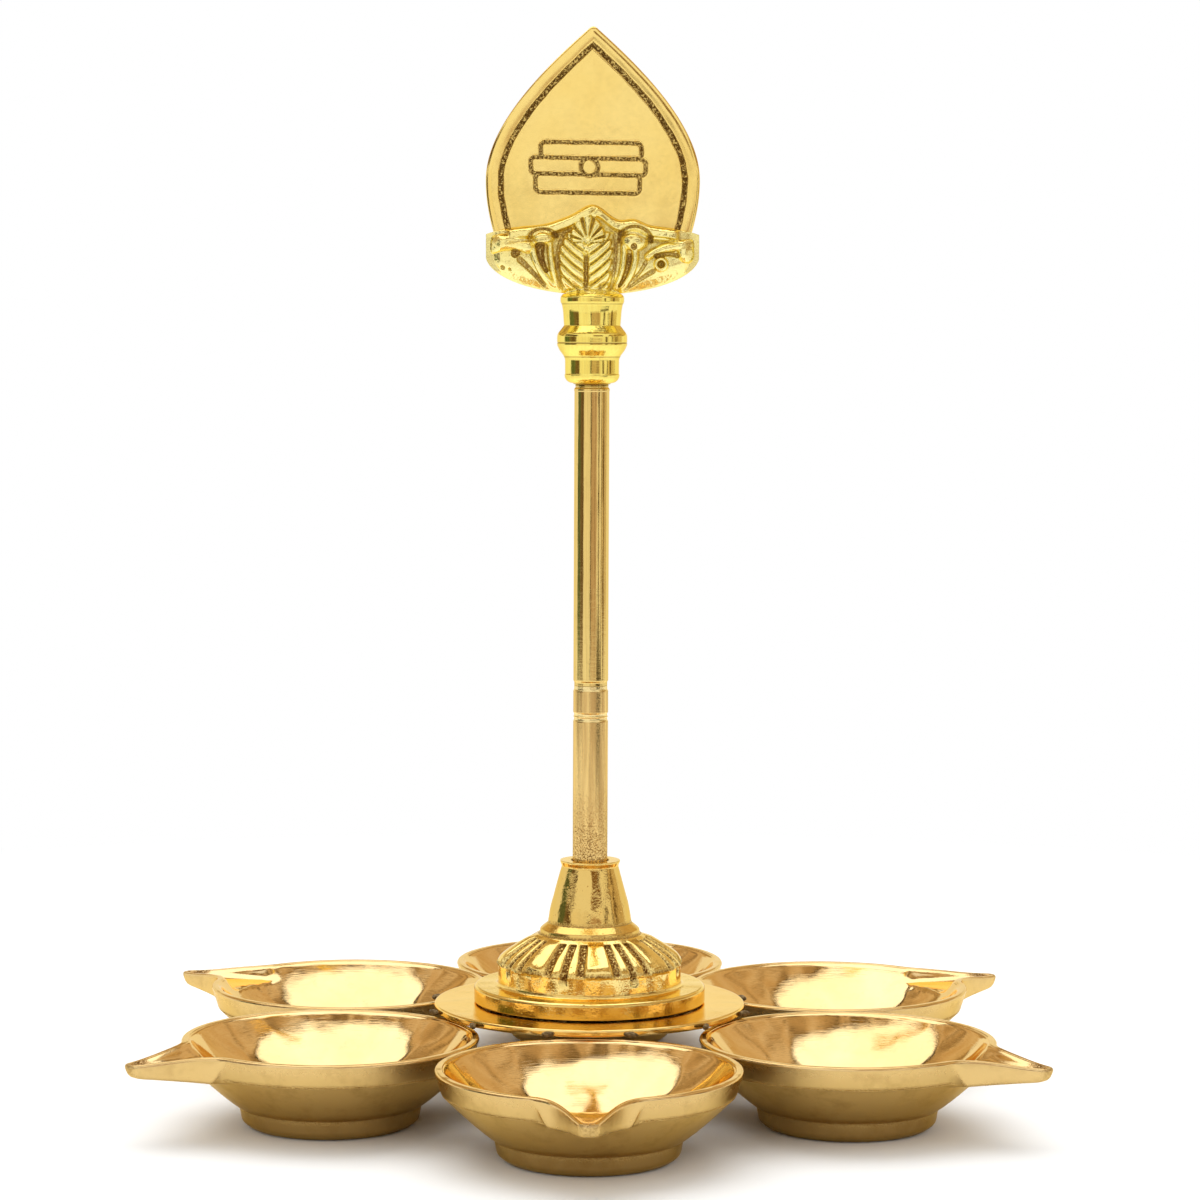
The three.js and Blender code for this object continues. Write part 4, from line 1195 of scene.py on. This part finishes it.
def make_blade():
    side = blade_side()
    steps = [np.arange(blade_foot, mark_foot, 0.4), np.arange(mark_foot, mark_top, 0.13),
             np.arange(mark_top, blade_tip - 0.8, 0.35), blade_tip - np.linspace(0.75, 0.02, 9)]
    heights = np.concatenate(steps)[:, None]
    half = np.interp(heights, side[:, 1], side[:, 0])

    def face(columns):
        """One side of the plate, without the mark, and how worn it is in the border groove."""
        s = np.linspace(-1, 1, columns)[None, :]
        x = half * mix(s, np.sin(s * math.pi / 2), 0.25)
        z = heights * np.ones_like(s)
        inset = line_distance(np.abs(x), z, side)[0]
        inset[:, [0, -1]] = 0
        edge = 1 - unit(inset / (blade_edge * 1.3))
        depth = blade_thickness / 2 - 0.6 * (1 - np.sqrt(1 - edge ** 2))
        spots = np.stack([x, 0 * x, z], -1)
        uneven = grain(spots, 0.35, 3.0)
        across = (inset - border_width - border_groove / 2 + 0.15 * uneven) / (border_groove / 2)
        groove = smooth((1.15 - np.abs(across)) / 0.5)
        crisp = 0.75 + 0.35 * grain(spots, 2.1, 7.0)
        depth = depth + 0.1 * soft(inset - 1.45, 1.5) - border_groove_depth * groove * crisp
        field = smooth((inset - border_width - border_groove) / 6)
        return x, z, depth + 0.15 * field + 0.03 * grain(spots, 0.12, 9.0), groove

    x, z, depth, groove = face(360)
    cut = mark_depth(x, z)
    depth = depth - mark_cut * cut
    front = np.stack([x, -depth, z], -1)
    back_x, back_z, back_depth, back_groove = face(150)
    back = np.stack([back_x, back_depth, back_z], -1)[:, ::-1]
    across = np.array([[-0.5, 0.0, 0.5]])
    right = np.stack([x[:, -1:] + 0 * across, depth[:, -1:] * across, z[:, -1:] + 0 * across], -1)
    left = right[:, ::-1] * (-1, 1, 1)
    shape = skin(np.concatenate([front, right, back, left], axis=1), [0, 0, blade_foot],
                 [0, 0, blade_tip])
    plain = np.zeros((len(heights), across.size))
    worn = np.concatenate([unit(groove + cut), plain, back_groove[:, ::-1], plain], axis=1)
    make("spearhead", "plate", shape, blade_finish, "finial_body",
         marks={"worn": worn})


make_blade()


# The clamp under the disc keeps its frame shapes and gets a finish

for clamp_node in ("clamp_bolt", "clamp_washer"):
    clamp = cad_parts[clamp_node]
    clamp.data.materials.clear()
    clamp.data.materials.append(steel_finish)


# The studio: a pale floor, white surroundings, a soft light overhead and the panels round it

upright_streaks = (0.014, 0.014, 0.0008)
level_streaks = (0.013, 0.002, 0.013)


def glow(name, colour, streaks, contrast):
    """A surface that shines in one colour, crossed by darker and paler streaks."""
    r = Recipe(name, kept=False)
    lines = r.noise(1.0, 4.0, r.stretched(streaks), 0.6)
    deep = r.times(r.spread(lines, 0.49, 0.42), contrast)
    pale = r.times(r.spread(lines, 0.53, 0.59), contrast)
    mixed = r.blend(deep, colour, [0.25 * c for c in colour])
    mixed = r.blend(pale, mixed, [math.sqrt(c) for c in colour])
    return r.surface(r.node("Emission", {"Color": mixed}))


def panel(name, corners, colour, streaks, contrast):
    """A flat studio panel that only polished metal sees."""
    finish = glow(name, colour, streaks, contrast)
    board = add(name, new_mesh(name, corners, [range(len(corners))], finish))
    for kind in ("camera", "diffuse", "shadow", "transmission"):
        setattr(board, "visible_" + kind, False)


def standing_panel(name, start, end, bottom, top, distance, colour, contrast=0.7):
    """An upright panel between two bearings, in degrees right of the camera's side."""
    corners = []
    for bearing, height in ((start, bottom), (end, bottom), (end, top), (start, top)):
        turn = math.radians(bearing - 90)
        corners.append((distance * math.cos(turn), distance * math.sin(turn), height))
    panel(name, corners, colour, upright_streaks, contrast)


def ceiling_panel(name, left, right, near, far, height, colour):
    """An oval panel that hangs level."""
    corners = [(mix(left, right, 0.5 + 0.5 * math.cos(turn)),
                mix(near, far, 0.5 + 0.5 * math.sin(turn)), height)
               for turn in bearings(64)[0].tolist()]
    panel(name, corners, colour, level_streaks, 0.9)


def make_floor():
    """White paper, lit where the lamp stands and fading into the white surroundings."""
    half, height = 6.0, -0.0002
    r = Recipe("floor_paper", kept=False)
    fade = r.spread(r.radius(), 150.0, 420.0)
    paper = r.node("BsdfDiffuse", {"Color": (0.90, 0.90, 0.89)})
    glare = r.node("Emission", {"Color": (1, 1, 1), "Strength": 1.0})
    blend = r.node("MixShader", {0: fade, 1: paper.outputs[0], 2: glare.outputs[0]})
    corners = [(x * half, y * half, height) for x, y in ((-1, -1), (1, -1), (1, 1), (-1, 1))]
    floor = add("floor", new_mesh("floor", corners, [range(4)], r.surface(blend)))


def make_world():
    """White surroundings, which the camera and polished metal see as white."""
    world = bpy.data.worlds.new("studio")
    bpy.context.scene.world = world
    world.use_nodes = True
    tree = world.node_tree
    tree.nodes.clear()
    background = tree.nodes.new("ShaderNodeBackground")
    background.inputs["Color"].default_value = (1, 1, 1, 1)
    output = tree.nodes.new("ShaderNodeOutputWorld")
    tree.links.new(background.outputs[0], output.inputs["Surface"])


def softbox(name, left, right, near, far, height, brightness):
    """An oval light that hangs level and shines down. White paper has a brightness of 1."""
    data = bpy.data.lights.new(name, "AREA")
    data.shape = "ELLIPSE"
    data.size, data.size_y = right - left, far - near
    data.energy = brightness * math.pi * data.size * data.size_y * math.pi / 4
    lamp = add(name, data)
    lamp.location = ((left + right) / 2, (near + far) / 2, height)
    lamp.visible_camera = False


dark = (0.04, 0.03, 0.015)
brown = (0.66, 0.46, 0.24)
cream = (0.98, 0.94, 0.86)
make_world()
make_floor()
softbox("softbox_above", -0.76, 0.51, -0.24, 0.87, 0.95, 1.7)
ceiling_panel("ceiling_frame", -0.81, 0.56, -0.285, 0.92, 0.955, dark)
ceiling_panel("ceiling", -1.2, 1.2, -0.64, 1.2, 0.96, brown)
for details in (
    ("flag_green", -102, -78, 0.0, 0.31, 0.95, (0.13, 0.17, 0.09), 0.5),
    ("flag_brown", -78, -54, 0.0, 0.31, 0.95, (0.19, 0.13, 0.07), 0.5),
    ("wall_left", -54, -7, 0.0, 0.34, 1.3, cream, 0.25),
    ("stand_left", -7, -2, 0.0, 0.187, 0.9, (0.14, 0.10, 0.05), 0.5),
    ("room_front", -2, 34, 0.0, 0.187, 0.95, (0.60, 0.44, 0.34)),
    ("box_right", 34, 68, 0.0, 0.05, 0.6, (0.08, 0.06, 0.025), 0.5),
    ("post_right", 45, 52, 0.0, 0.31, 0.95, (0.09, 0.055, 0.025), 0.5),
    ("post_far_right", 80, 90, 0.0, 0.31, 0.95, (0.20, 0.13, 0.06), 0.5),
    ("wall_right", 34, 67, 0.0, 0.34, 1.3, cream, 0.25),
    ("edge_right", 67, 71, 0.0, 0.96, 1.2, (0.16, 0.11, 0.05), 0.5),
    ("room_right", 71, 114, 0.0, 0.96, 1.25, (0.80, 0.66, 0.46)),
    ("room_behind", 114, 178, 0.34, 0.96, 1.25, brown),
    ("room_left", -178, -106, 0.34, 0.96, 1.25, brown),
    ("flag_high", -104, -50, 0.43, 0.78, 1.2, (0.09, 0.05, 0.022), 0.5),
    ("room_high", 5, 38, 0.43, 0.78, 1.2, (0.33, 0.19, 0.075), 0.7),
    ("side_high", 56, 114, 0.44, 0.72, 1.2, (0.45, 0.28, 0.11), 0.9),
):
    standing_panel(*details)

bpy.context.scene.view_settings.view_transform = "Standard"
